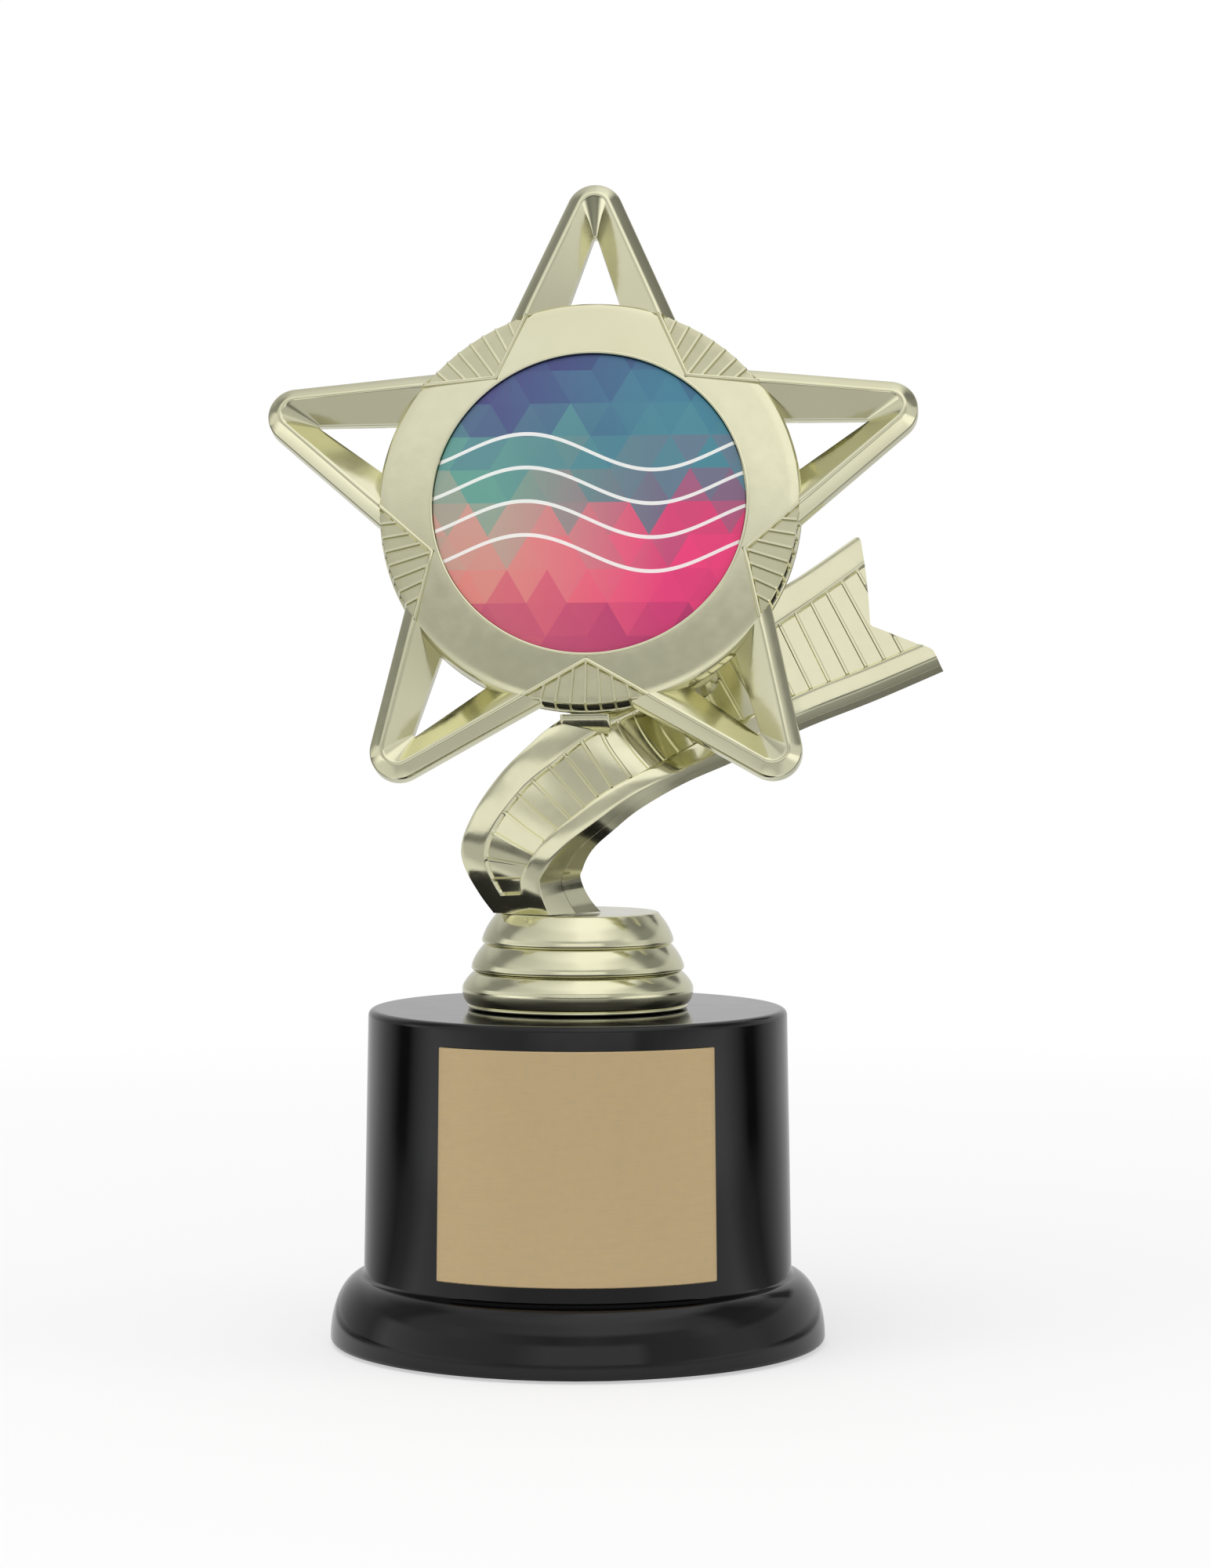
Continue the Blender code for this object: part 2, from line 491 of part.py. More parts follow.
def ribbon_layer(from_share, to_share, recess, grow=0.0):
    """A layer of the ribbon, from one share of the way to its back to another, widened by grow."""
    last = len(RIBBON_UPPER_EDGE) - 1
    tail_pitch = np.linalg.norm(np.subtract(RIBBON_LOWER_EDGE[-1], RIBBON_LOWER_EDGE[-2]))
    tail_width = np.linalg.norm(np.subtract(RIBBON_LOWER_EDGE[-1], RIBBON_UPPER_EDGE[-1]))
    stations = np.linspace(0, last, RIBBON_STEPS)
    near_tail = np.clip(1 - (last - stations) * tail_pitch / TAIL_LENGTH, 0, 1)
    band = RIBBON_BORDER + RIBBON_STEP
    lanes = ((0.0, 0.0, 0.0), (0.0, RIBBON_BORDER, 0.0), (0.0, band, recess), (TAIL_NOTCH_PLACE, 0.0, recess),
             (1.0, -band, recess), (1.0, -RIBBON_BORDER, 0.0), (1.0, 0.0, 0.0))
    bm = bmesh.new()
    columns = []
    for share, offset, sunk in lanes:
        tail_share = share + offset / tail_width
        dip = min(tail_share / TAIL_NOTCH_PLACE, (1 - tail_share) / (1 - TAIL_NOTCH_PLACE))
        places = stations - dip * near_tail * TAIL_NOTCH_DEPTH / tail_pitch
        upper = smooth_path(RIBBON_UPPER_EDGE, places)
        across = smooth_path(RIBBON_LOWER_EDGE, places) - upper
        to_back = smooth_path(RIBBON_TO_BACK, places)
        outwards = across / np.linalg.norm(across, axis=1)[:, None]
        thickness = np.linalg.norm(to_back, axis=1)[:, None]
        line = upper + across * share + outwards * offset
        pair = []
        for way in (from_share + sunk / thickness, to_share):
            moved = {lanes[0]: -grow, lanes[-1]: RIBBON_DRAFT * way + grow}.get((share, offset, sunk), 0.0)
            pair.append([bm.verts.new(point) for point in line + outwards * moved + to_back * way])
        columns.append(pair)
    for (front_a, back_a), (front_b, back_b) in zip(columns, columns[1:]):
        for i in range(RIBBON_STEPS - 1):
            bm.faces.new((front_a[i], front_b[i], front_b[i + 1], front_a[i + 1]))
            bm.faces.new((back_b[i], back_a[i], back_a[i + 1], back_b[i + 1]))
        for i in (0, RIBBON_STEPS - 1):
            bm.faces.new((front_a[i], front_b[i], back_b[i], back_a[i]))
    for front, back in (columns[0], columns[-1]):
        for i in range(RIBBON_STEPS - 1):
            bm.faces.new((front[i], front[i + 1], back[i + 1], back[i]))
    return bm


def make_ribbon(stem, gold):
    """Front and back halves of the ribbon stem, cut flat where they stand on the collar."""
    gap_share = SEAT_GAP / float(np.linalg.norm(RIBBON_TO_BACK[-1]))
    halves = (("ribbon_front", 0.0, 0.5, RIBBON_RECESS), ("ribbon_back", 0.5 + gap_share, 1.0, 0.0))
    reach = 2 * COLLAR_TOP_RADIUS
    square = [(-reach, -reach), (reach, -reach), (reach, reach), (-reach, reach)]
    for name, start, end, recess in halves:
        half = add_object(name, ribbon_layer(start, end, recess), gold, stem)
        cutter = add_object(name + "_foot_cut", loft([(square, -reach), (square, SEAT_GAP)]), gold, stem)
        boolean(half, cutter, "DIFFERENCE")


def make_blocks(stem, plane, gold):
    """Neck under the ring and the boss behind it, cut to the ribbon that they stand on."""
    share = SEAT_GAP / float(np.linalg.norm(RIBBON_TO_BACK[-1]))
    ribbon_room = add_object("ribbon_room", ribbon_layer(-share, 1 + share, 0.0, SEAT_GAP), gold, stem)
    top = -star_reach_over_neck() - SEAT_GAP
    bottom = top - NECK_HEIGHT
    square = [(NECK_LEFT, bottom), (NECK_RIGHT, bottom), (NECK_RIGHT, top), (NECK_LEFT, top)]
    neck = add_object("neck_block", loft([(square, -NECK_DEPTH), (square, 0.0)]), gold, plane)
    boolean(neck, ribbon_room, "DIFFERENCE")
    rear = STAR_BACK_REAR - SEAT_GAP
    boss = add_object("rear_boss", tube(0.0, BOSS_RADIUS, rear - BOSS_LENGTH, rear, SMALL_STEPS), gold, plane)
    boss_reach = (RING_RADIUS - BOSS_RIM_INSET) * MM
    boss_place = math.radians(BOSS_PLACE_DEG)
    boss.location = (boss_reach * math.cos(boss_place), boss_reach * math.sin(boss_place), 0.0)
    boolean(boss, ribbon_room, "DIFFERENCE")


def main():
    clear_scene()
    gold = finish("champagne_metal_plating", (0.72, 0.69, 0.48), 0.16, 1.0)
    black = finish("gloss_black_plastic", (0.006, 0.006, 0.007), 0.08, 0.0)
    brass = finish("satin_brass", (0.48, 0.36, 0.19), 0.4, 1.0)
    steel = finish("zinc_steel", (0.55, 0.56, 0.58), 0.35, 1.0)
    plaster = finish("cast_plaster", (0.62, 0.6, 0.56), 0.9, 0.0)
    board = finish("fibre_board", (0.12, 0.09, 0.06), 0.85, 0.0)
    felt = finish("black_felt", (0.015, 0.015, 0.016), 0.95, 0.0)
    tape = finish("clear_tape", (0.7, 0.7, 0.68), 0.6, 0.0)
    printed = finish("printed_insert", (0.25, 0.3, 0.45), 0.35, 0.0)

    base = add_empty("base_axis")
    figure = add_empty("figure_axis")
    stem = add_empty("stem_axis", figure, Matrix.Translation((0.0, 0.0, COLLAR_TOP_Z * MM)))
    seat = Matrix.Translation((STAR_SEAT_X * MM, STAR_SEAT_Y * MM, STAR_SEAT_RISE * MM))
    centre = Matrix.Translation((0.0, star_reach_over_neck() * MM, 0.0))
    turn = Matrix.Rotation(math.radians(STAR_TURN_DEG), 4, "Z")
    lean = Matrix.Rotation(math.radians(90 - STAR_LEAN_DEG), 4, "X")
    roll = Matrix.Rotation(math.radians(STAR_ROLL_DEG), 4, "Z")
    star_plane = add_empty("star_plane", stem, seat @ turn @ lean @ roll @ centre)

    make_base_shell(base, black)
    make_base_filling(base, plaster, board, felt)
    make_plate(base, brass, tape)
    make_hardware(figure, steel)
    make_collar(figure, gold)
    make_ribbon(stem, gold)
    make_star_front(star_plane, gold)
    make_star_back(star_plane, gold)
    make_blocks(stem, star_plane, gold)
    make_insert(star_plane, printed, tape)


main()
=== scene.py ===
"""Looks of the star trophy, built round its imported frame.

Sizes in the classes are millimetres in the frame's axes: +Z up, front at -Y, origin under the base.
Star pieces use the star's own plane: X to the right, Y up in the plane, W out of its front.
"""

import logging
import math
from abc import ABC, abstractmethod
from collections.abc import Sequence
from dataclasses import dataclass, field
from enum import Enum, IntEnum

import bmesh
import bpy
import numpy as np
from numpy.typing import NDArray
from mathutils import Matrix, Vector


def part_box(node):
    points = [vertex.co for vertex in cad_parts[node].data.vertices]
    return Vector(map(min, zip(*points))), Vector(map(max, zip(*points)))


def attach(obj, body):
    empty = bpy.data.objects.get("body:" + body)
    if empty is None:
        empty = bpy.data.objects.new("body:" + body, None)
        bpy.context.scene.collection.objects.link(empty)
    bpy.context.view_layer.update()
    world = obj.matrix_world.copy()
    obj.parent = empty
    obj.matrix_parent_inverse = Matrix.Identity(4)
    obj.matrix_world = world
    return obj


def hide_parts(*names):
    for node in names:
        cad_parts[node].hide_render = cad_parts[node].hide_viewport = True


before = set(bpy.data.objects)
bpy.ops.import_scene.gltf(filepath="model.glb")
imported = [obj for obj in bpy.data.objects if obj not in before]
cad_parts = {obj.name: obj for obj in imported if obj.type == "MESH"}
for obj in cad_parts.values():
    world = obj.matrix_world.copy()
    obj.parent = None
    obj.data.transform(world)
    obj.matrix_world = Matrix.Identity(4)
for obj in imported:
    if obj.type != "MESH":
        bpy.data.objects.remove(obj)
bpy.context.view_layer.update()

LOG = logging.getLogger("trophy")
MM = 0.001
SEAM_REACH = 2e-6
SHORTEST_EDGE = 1e-7

Array = NDArray[np.float64]
Pair = tuple[float, float]
Point = tuple[float, float, float]
Colour = tuple[float, float, float]
Material = bpy.types.Material
Piece = bpy.types.Object
Socket = bpy.types.NodeSocket


class Body(Enum):
    """Bodies of the frame that pieces ride on."""

    BASE = "base"
    FIGURE = "figure"


class Slot(Enum):
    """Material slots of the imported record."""

    GOLD = "metallised_gold"
    BLACK = "gloss_black"
    BRASS = "satin_brass"
    PRINT = "printed_insert"


class Shade(IntEnum):
    """Places of the star's finishes in its list of materials: gold, and two painted shades, near-black in the
    rim pockets and a darker gold on the floors between ribs.
    """

    GOLD = 0
    POCKET = 1
    DULL = 2


# Surfaces as grids of points


@dataclass(frozen=True)
class Grid:
    """A surface as rows and columns of points.

    Attributes:
        points: rows by columns by three, in millimetres.
        rows_close: whether the last row joins the first.
        columns_close: whether the last column joins the first.
        shades: material index of each face, rows by columns of faces, or None for the first material.
    """

    points: Array
    rows_close: bool = False
    columns_close: bool = False
    shades: Array | None = None

    def quads(self) -> NDArray[np.int64]:
        """Corners of each face: a grid cell's four points, with the index wrapped where a way closes.

        Returns:
            Faces by four point indices.
        """
        rows, columns = self.points.shape[:2]
        row = np.arange(rows if self.rows_close else rows - 1)
        column = np.arange(columns if self.columns_close else columns - 1)
        row, column = (index.ravel() for index in np.meshgrid(row, column, indexing="ij"))
        next_row, next_column = (row + 1) % rows, (column + 1) % columns
        corners = ((row, column), (next_row, column), (next_row, next_column), (row, next_column))
        return np.stack([r * columns + c for r, c in corners], axis=1)

    def face_shades(self) -> NDArray[np.int64]:
        """Material index of each face, in the order of the quads."""
        count = len(self.quads())
        return np.zeros(count, int) if self.shades is None else self.shades.astype(int).ravel()


def make_piece(name: str, grids: list[Grid], finishes: list[Material], sharp_deg: float = 32.0) -> Piece:
    """Joins grids into one mesh, merges their seams and poles and turns every face outwards.

    Args:
        name: name of the piece.
        grids: surfaces in millimetres, in the frame's axes.
        finishes: materials that the face shades count in.
        sharp_deg: angle past which an edge stays sharp.

    Returns:
        The piece, linked to the scene.
    """
    firsts = np.cumsum([0] + [grid.points.shape[0] * grid.points.shape[1] for grid in grids])
    points = np.vstack([grid.points.reshape(-1, 3) for grid in grids]) * MM
    quads = np.vstack([grid.quads() + first for grid, first in zip(grids, firsts)])
    mesh = bpy.data.meshes.new(name)
    mesh.from_pydata(points.tolist(), [], quads.tolist())
    mesh.polygons.foreach_set("material_index", np.concatenate([grid.face_shades() for grid in grids]))
    bm = bmesh.new()
    bm.from_mesh(mesh)
    bmesh.ops.remove_doubles(bm, verts=bm.verts, dist=SEAM_REACH)
    bmesh.ops.dissolve_degenerate(bm, edges=bm.edges, dist=SHORTEST_EDGE)
    bmesh.ops.recalc_face_normals(bm, faces=bm.faces)
    bm.to_mesh(mesh)
    bm.free()
    for finish in finishes:
        mesh.materials.append(finish)
    mesh.shade_smooth()
    mesh.set_sharp_from_angle(angle=math.radians(sharp_deg))
    piece = bpy.data.objects.new(name, mesh)
    bpy.context.scene.collection.objects.link(piece)
    return piece


def seat(piece: Piece, body: Body, node: str) -> None:
    """Puts a piece on its body and hides the CAD node that it stands for.

    Args:
        piece: finished piece.
        body: body that it rides on.
        node: CAD node that it replaces.
    """
    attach(piece, body.value)
    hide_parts(node)
    LOG.info("%s: %d faces", piece.name, len(piece.data.polygons))


def arc(centre: Pair, radii: Pair, start: float, end: float, steps: int) -> Array:
    """Points of an elliptical arc: centre plus radii times cosine and sine of the angle.

    Args:
        centre: centre of the arc.
        radii: half axes.
        start: first angle in degrees.
        end: last angle in degrees.
        steps: number of points.

    Returns:
        Steps by two points.
    """
    angle = np.radians(np.linspace(start, end, steps))
    return np.stack([centre[0] + radii[0] * np.cos(angle), centre[1] + radii[1] * np.sin(angle)], axis=1)


def bow(start: Pair, pull: Pair, end: Pair, steps: int) -> Array:
    """Points of a quadratic curve from start to end, bent towards pull.

    Args:
        start: first point.
        pull: control point.
        end: last point.
        steps: number of points.

    Returns:
        Steps by two points.
    """
    t = np.linspace(0.0, 1.0, steps)[:, None]
    return (1 - t) ** 2 * np.array(start) + 2 * t * (1 - t) * np.array(pull) + t ** 2 * np.array(end)


def turned(profile: Array, steps: int, closes: bool = True) -> Grid:
    """Carries a profile of (radius, height) round the axis: (r cos a, r sin a, z) for each angle a.

    Args:
        profile: points of the profile.
        steps: number of angles.
        closes: whether the profile's last point joins its first.

    Returns:
        The turned surface.
    """
    angle = np.linspace(0.0, 2 * math.pi, steps, endpoint=False)[:, None]
    radius, height = profile[:, 0], profile[:, 1]
    points = np.stack(np.broadcast_arrays(radius * np.cos(angle), radius * np.sin(angle), height), axis=2)
    return Grid(points, rows_close=True, columns_close=closes)


def swung(along: Array, across: Array, level: Array, angle: float) -> Array:
    """Points from distances along and across a direction in a plane, turned by its angle, at their levels."""
    return np.stack(np.broadcast_arrays(along * math.cos(angle) - across * math.sin(angle),
                                        along * math.sin(angle) + across * math.cos(angle), level), axis=-1)


def with_poles(grid: Grid) -> Grid:
    """Closes a surface whose columns close: its first and last rows each run together in their middle."""
    ends = np.broadcast_to(grid.points[[0, -1]].mean(axis=1, keepdims=True), grid.points[[0, -1]].shape)
    return Grid(np.concatenate([ends[:1], grid.points, ends[1:]]), grid.rows_close, grid.columns_close)


def top_of(node: str) -> float:
    """Highest level of a CAD node in millimetres."""
    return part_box(node)[1].z / MM


def bottom_of(node: str) -> float:
    """Lowest level of a CAD node in millimetres."""
    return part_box(node)[0].z / MM


# Finishes


def grey(level: float) -> Colour:
    """A grey of one level."""
    return (level, level, level)


class Nodes:
    """Short ways to add and link the nodes of one tree."""

    def __init__(self, tree: bpy.types.NodeTree) -> None:
        """Keeps the tree."""
        self.tree = tree

    def add(self, kind: str, **settings: object) -> bpy.types.Node:
        """Adds a node.

        Args:
            kind: Blender's type name.
            settings: node properties, or input values for names that are inputs.

        Returns:
            The node.
        """
        node = self.tree.nodes.new(kind)
        for key, value in settings.items():
            if hasattr(node, key):
                setattr(node, key, value)
            else:
                node.inputs[key.replace("_", " ").title()].default_value = value
        return node

    def link(self, source: Socket, target: Socket) -> None:
        """Links an output to an input."""
        self.tree.links.new(source, target)

    def spread(self, value: Socket, low: float, high: float,
               start: float = 0.3, end: float = 0.7) -> Socket:
        """Maps a value from one range to another.

        Args:
            value: socket to map.
            low: result at the start.
            high: result at the end.
            start: lowest value in.
            end: highest value in.

        Returns:
            The mapped value.
        """
        node = self.add("ShaderNodeMapRange")
        for key, number in (("From Min", start), ("From Max", end), ("To Min", low), ("To Max", high)):
            node.inputs[key].default_value = number
        self.link(value, node.inputs["Value"])
        return node.outputs["Result"]

    def math(self, operation: str, first: Socket | float,
             second: Socket | float = 0.0) -> Socket:
        """One sum on sockets or numbers.

        Args:
            operation: Blender's name of the operation.
            first: first operand.
            second: second operand.

        Returns:
            The result.
        """
        node = self.add("ShaderNodeMath", operation=operation)
        for socket, operand in zip(node.inputs, (first, second)):
            if isinstance(operand, (int, float)):
                socket.default_value = operand
            else:
                self.link(operand, socket)
        return node.outputs[0]

    def turn(self, split: bpy.types.Node) -> Socket:
        """Azimuth of separated coordinates as a share of the whole turn, with the front at one half.

        Args:
            split: node that separates the coordinates.

        Returns:
            The share.
        """
        front = self.math("MULTIPLY", split.outputs["Y"], -1.0)
        return self.spread(self.math("ARCTAN2", split.outputs["X"], front), 0.0, 1.0, -math.pi, math.pi)

    def split(self, vector: Socket) -> bpy.types.Node:
        """Separates coordinates.

        Args:
            vector: coordinates.

        Returns:
            The node with its three outputs.
        """
        node = self.add("ShaderNodeSeparateXYZ")
        self.link(vector, node.inputs["Vector"])
        return node

    def rays(self) -> tuple[Socket, Socket]:
        """Whether a ray comes from the camera, and whether it comes from gloss or glass.

        Returns:
            Both answers.
        """
        path = self.add("ShaderNodeLightPath").outputs
        return path["Is Camera Ray"], self.math("MAXIMUM", path["Is Glossy Ray"], path["Is Transmission Ray"])

    def band(self, turn: Socket, levels: tuple[Pair, ...]) -> Socket:
        """Grey levels against azimuth in degrees, along a share of the whole turn."""
        return self.ramp(turn, [(0.5 + angle / 360, grey(level)) for angle, level in levels])

    def ramp(self, value: Socket, stops: Sequence[tuple[float, Colour]]) -> Socket:
        """Colours along a value.

        Args:
            value: socket to read.
            stops: places and colours.

        Returns:
            The colour.
        """
        node = self.add("ShaderNodeValToRGB")
        elements = node.color_ramp.elements
        for _ in stops[2:]:
            elements.new(0.5)
        for element, (position, colour) in zip(elements, stops):
            element.position = position
            element.color = (*colour, 1.0)
        self.link(value, node.inputs["Fac"])
        return node.outputs["Color"]

    def mix(self, share: Socket, first: Socket | Colour, second: Socket | Colour) -> Socket:
        """Mixes two colours.

        Args:
            share: share of the second colour.
            first: first colour.
            second: second colour.

        Returns:
            The mixed colour.
        """
        node = self.add("ShaderNodeMix", data_type="RGBA")
        for socket, value in zip((node.inputs[0], node.inputs[6], node.inputs[7]), (share, first, second)):
            if isinstance(value, tuple):
                socket.default_value = (*value, 1.0)
            else:
                self.link(value, socket)
        return node.outputs[2]


class MaterialNodes(Nodes):
    """Node tree of one material with a Principled shader, read on object coordinates."""

    def __init__(self, name: str) -> None:
        """Starts a material.

        Args:
            name: name of the material.
        """
        self.material = bpy.data.materials.new(name)
        self.material.use_nodes = True
        super().__init__(self.material.node_tree)
        self.shader = self.tree.nodes["Principled BSDF"]
        self.place = self.add("ShaderNodeTexCoord").outputs["Object"]

    def sockets(self) -> dict[str, Socket]:
        """The shader's inputs by their names in lower case with underscores."""
        return {socket.name.lower().replace(" ", "_"): socket for socket in self.shader.inputs}

    def set(self, **values: object) -> None:
        """Sets constant values on the shader's own sockets."""
        for key, value in values.items():
            self.sockets()[key].default_value = (*value, 1.0) if isinstance(value, tuple) else value

    def turned_place(self, centre: Point = (0.0, 0.0, 0.0), angles: Point = (0.0, 0.0, 0.0),
                     size: Point = (1.0, 1.0, 1.0)) -> Socket:
        """Object coordinates seen from a pattern's own centre, angles and size.

        Args:
            centre: pattern's origin in metres.
            angles: pattern's angles in radians.
            size: pattern's unit along each axis.

        Returns:
            The mapped coordinates.
        """
        mapping = self.add("ShaderNodeMapping", vector_type="TEXTURE")
        mapping.inputs["Location"].default_value = centre
        mapping.inputs["Rotation"].default_value = angles
        mapping.inputs["Scale"].default_value = size
        self.link(self.place, mapping.inputs["Vector"])
        return mapping.outputs["Vector"]

    def noise(self, scale: float, detail: float = 2.0,
              place: Socket | None = None) -> Socket:
        """Noise value on the object's coordinates.

        Args:
            scale: cells for each metre.
            detail: octaves.
            place: other coordinates to read.

        Returns:
            The noise's value.
        """
        node = self.add("ShaderNodeTexNoise", scale=scale, detail=detail)
        self.link(place or self.place, node.inputs["Vector"])
        return node.outputs["Fac"]

    def bump(self, height: Socket, strength: float, distance: float,
             normal: Socket | None = None) -> Socket:
        """Bumps the surface by a height.

        Args:
            height: height socket.
            strength: share of the bump.
            distance: height of the bump in metres.
            normal: bump below this one.

        Returns:
            The bumped normal.
        """
        node = self.add("ShaderNodeBump", strength=strength, distance=distance)
        self.link(height, node.inputs["Height"])
        if normal:
            self.link(normal, node.inputs["Normal"])
        return node.outputs["Normal"]

    def feed(self, **sources: Socket) -> None:
        """Links sockets to the shader's inputs of the same names."""
        for key, source in sources.items():
            self.link(source, self.sockets()[key])


class Finish(ABC):
    """A procedural finish that fills a material of its own."""

    def make(self, name: str) -> Material:
        """Builds the material.

        Args:
            name: name of the material.

        Returns:
            The material.
        """
        nodes = MaterialNodes(name)
        self.paint(nodes)
        return nodes.material

    @abstractmethod
    def paint(self, nodes: MaterialNodes) -> None:
        """Adds the finish's nodes to a material."""


@dataclass(frozen=True)
class MetalPlating(Finish):
    """Bright champagne plating on moulded plastic: cloudy tint, fine grain and a slow moulded wave.

    Attributes:
        colour: clear tint.
        cloud: tint of the clouds.
        roughness: lowest and highest roughness.
        wave_height: height of the moulded wave in metres.
        pore_height: height of the pores in metres.
    """

    colour: Colour = (0.775, 0.76, 0.55)
    cloud: Colour = (0.71, 0.695, 0.465)
    roughness: Pair = (0.09, 0.17)
    wave_height: float = 0.00025
    pore_height: float = 0.00003

    def paint(self, nodes: MaterialNodes) -> None:
        """Mixes the tints by clouds and bumps the surface by waves and pores.

        Args:
            nodes: material to fill.
        """
        nodes.set(metallic=1.0)
        kinds = ((55.0, 4.0), (420.0, 5.0), (70.0, 1.0), (2600.0, 3.0))
        clouds, grain, waves, pores = (nodes.noise(scale, detail) for scale, detail in kinds)
        wave = nodes.bump(waves, 0.25, self.wave_height)
        nodes.feed(base_color=nodes.mix(nodes.spread(clouds, 0.0, 0.7), self.colour, self.cloud),
                   roughness=nodes.spread(grain, *self.roughness),
                   normal=nodes.bump(pores, 0.06, self.pore_height, wave))


@dataclass(frozen=True)
class PocketPaintedShade(Finish):
    """Near-black material that paints the shade at the bottom of the pockets at the fans' rim.

    Attributes:
        colour: near-black tint of the painted shade.
        paler_shade: paler tint mixed into the painted shade.
        roughness: lowest and highest roughness.
    """

    colour: Colour = (0.012, 0.011, 0.008)
    paler_shade: Colour = (0.03, 0.028, 0.018)
    roughness: Pair = (0.55, 0.8)

    def paint(self, nodes: MaterialNodes) -> None:
        """Mixes both tints by a fine noise.

        Args:
            nodes: material to fill.
        """
        nodes.set(specular_ior_level=0.2)
        nodes.feed(base_color=nodes.mix(nodes.noise(800.0), self.colour, self.paler_shade),
                   roughness=nodes.spread(nodes.noise(1500.0), *self.roughness))


@dataclass(frozen=True)
class GlossBlack(Finish):
    """Polished black plastic with a slow moulded wave, a little haze and sparse dust.

    Attributes:
        colour: tint of the plastic.
        dust: tint of the dust.
        haze: lowest and highest roughness.
        wave_height: height of the moulded wave in metres.
        peel_height: height of the fine unevenness in metres.
    """

    colour: Colour = (0.0015, 0.0016, 0.0018)
    dust: Colour = (0.03, 0.03, 0.03)
    haze: Pair = (0.05, 0.12)
    wave_height: float = 0.0003
    peel_height: float = 0.00003

    def paint(self, nodes: MaterialNodes) -> None:
        """Dusts the tint where a fine noise peaks and bumps the surface by two noises.

        Args:
            nodes: material to fill.
        """
        nodes.set(specular_ior_level=0.4)
        dusty = nodes.spread(nodes.noise(5200.0, 1.0), 0.0, 0.6, 0.74, 0.8)
        wave = nodes.bump(nodes.noise(45.0, 1.0), 0.12, self.wave_height)
        nodes.feed(base_color=nodes.mix(dusty, self.colour, self.dust),
                   roughness=nodes.spread(nodes.noise(160.0, 6.0), *self.haze),
                   normal=nodes.bump(nodes.noise(1400.0, 2.0), 0.03, self.peel_height, wave))


@dataclass(frozen=True)
class SatinBrass(Finish):
    """Satin lacquered brass sheet: faint cross-brushed grain and soft mottling.

    Attributes:
        colour: clear tint.
        mottle: tint of the patches.
        roughness: lowest and highest roughness.
        brush_length: length of a brush mark round the base and across it, against its height.
        patch_height: height of the patches in metres.
        brush_height: height of the brush marks in metres.
    """

    colour: Colour = (0.585, 0.44, 0.24)
    mottle: Colour = (0.55, 0.425, 0.24)
    roughness: Pair = (0.46, 0.6)
    brush_length: Point = (14.0, 14.0, 1.0)
    patch_height: float = 0.00008
    brush_height: float = 0.00002

    def paint(self, nodes: MaterialNodes) -> None:
        """Mixes the tints by patches and roughens the surface along stretched noise.

        Args:
            nodes: material to fill.
        """
        nodes.set(metallic=0.55, specular_ior_level=0.3)
        brushed = nodes.noise(3200.0, 3.0, nodes.turned_place(size=self.brush_length))
        patches = nodes.noise(700.0, 5.0)
        brush = nodes.bump(brushed, 0.08, self.brush_height)
        nodes.feed(base_color=nodes.mix(nodes.spread(patches, 0.0, 1.0), self.colour, self.mottle),
                   roughness=nodes.spread(brushed, *self.roughness),
                   normal=nodes.bump(patches, 0.05, self.patch_height, brush))


@dataclass(frozen=True)
class Speckled(Finish):
    """Plain rough stuff in two tones with a grain of its own, such as felt, board, plaster or tape.

    Attributes:
        light: lighter tone.
        dark: darker tone.
        scale: grains for each metre.
        stretch: length of a grain along each axis.
        roughness: shader's roughness.
        relief: height of the grain in metres.
        sheen: shader's sheen weight.
    """

    light: Colour
    dark: Colour
    scale: float
    stretch: Point = (1.0, 1.0, 1.0)
    roughness: float = 0.9
    relief: float = 0.0001
    sheen: float = 0.0

    def paint(self, nodes: MaterialNodes) -> None:
        """Mixes the tones by a grain that also bumps the surface.

        Args:
            nodes: material to fill.
        """
        nodes.set(roughness=self.roughness, sheen_weight=self.sheen)
        grain = nodes.noise(self.scale, 5.0, nodes.turned_place(size=self.stretch))
        tint = nodes.mix(nodes.spread(grain, 0.0, 1.0), self.dark, self.light)
        nodes.feed(base_color=tint, normal=nodes.bump(grain, 0.6, self.relief))


@dataclass(frozen=True)
class ZincSteel(Finish):
    """Zinc-plated steel, plain or with a screw thread round the Z axis.

    Attributes:
        thread_pitch: pitch of the thread in metres, or nothing for plain steel.
        blue: cool tint of the spangles.
        pale: warm tint of the spangles.
        roughness: lowest and highest roughness.
        spangle_height: height of the spangles in metres.
    """

    thread_pitch: float = 0.0
    blue: Colour = (0.5, 0.52, 0.55)
    pale: Colour = (0.62, 0.62, 0.6)
    roughness: Pair = (0.25, 0.4)
    spangle_height: float = 0.00003

    def paint(self, nodes: MaterialNodes) -> None:
        """Mixes the tints by spangles. The thread is a wave along Z.

        Args:
            nodes: material to fill.
        """
        nodes.set(metallic=1.0)
        spangle = nodes.noise(600.0, 4.0)
        normal = nodes.bump(spangle, 0.1, self.spangle_height)
        if self.thread_pitch:
            wave = nodes.add("ShaderNodeTexWave", bands_direction="Z", wave_profile="SIN")
            wave.inputs["Scale"].default_value = math.pi / 10 / self.thread_pitch
            nodes.link(nodes.place, wave.inputs["Vector"])
            normal = nodes.bump(wave.outputs["Fac"], 1.0, self.thread_pitch / 2, normal)
        nodes.feed(base_color=nodes.mix(nodes.spread(spangle, 0.0, 1.0), self.blue, self.pale),
                   roughness=nodes.spread(spangle, *self.roughness), normal=normal)


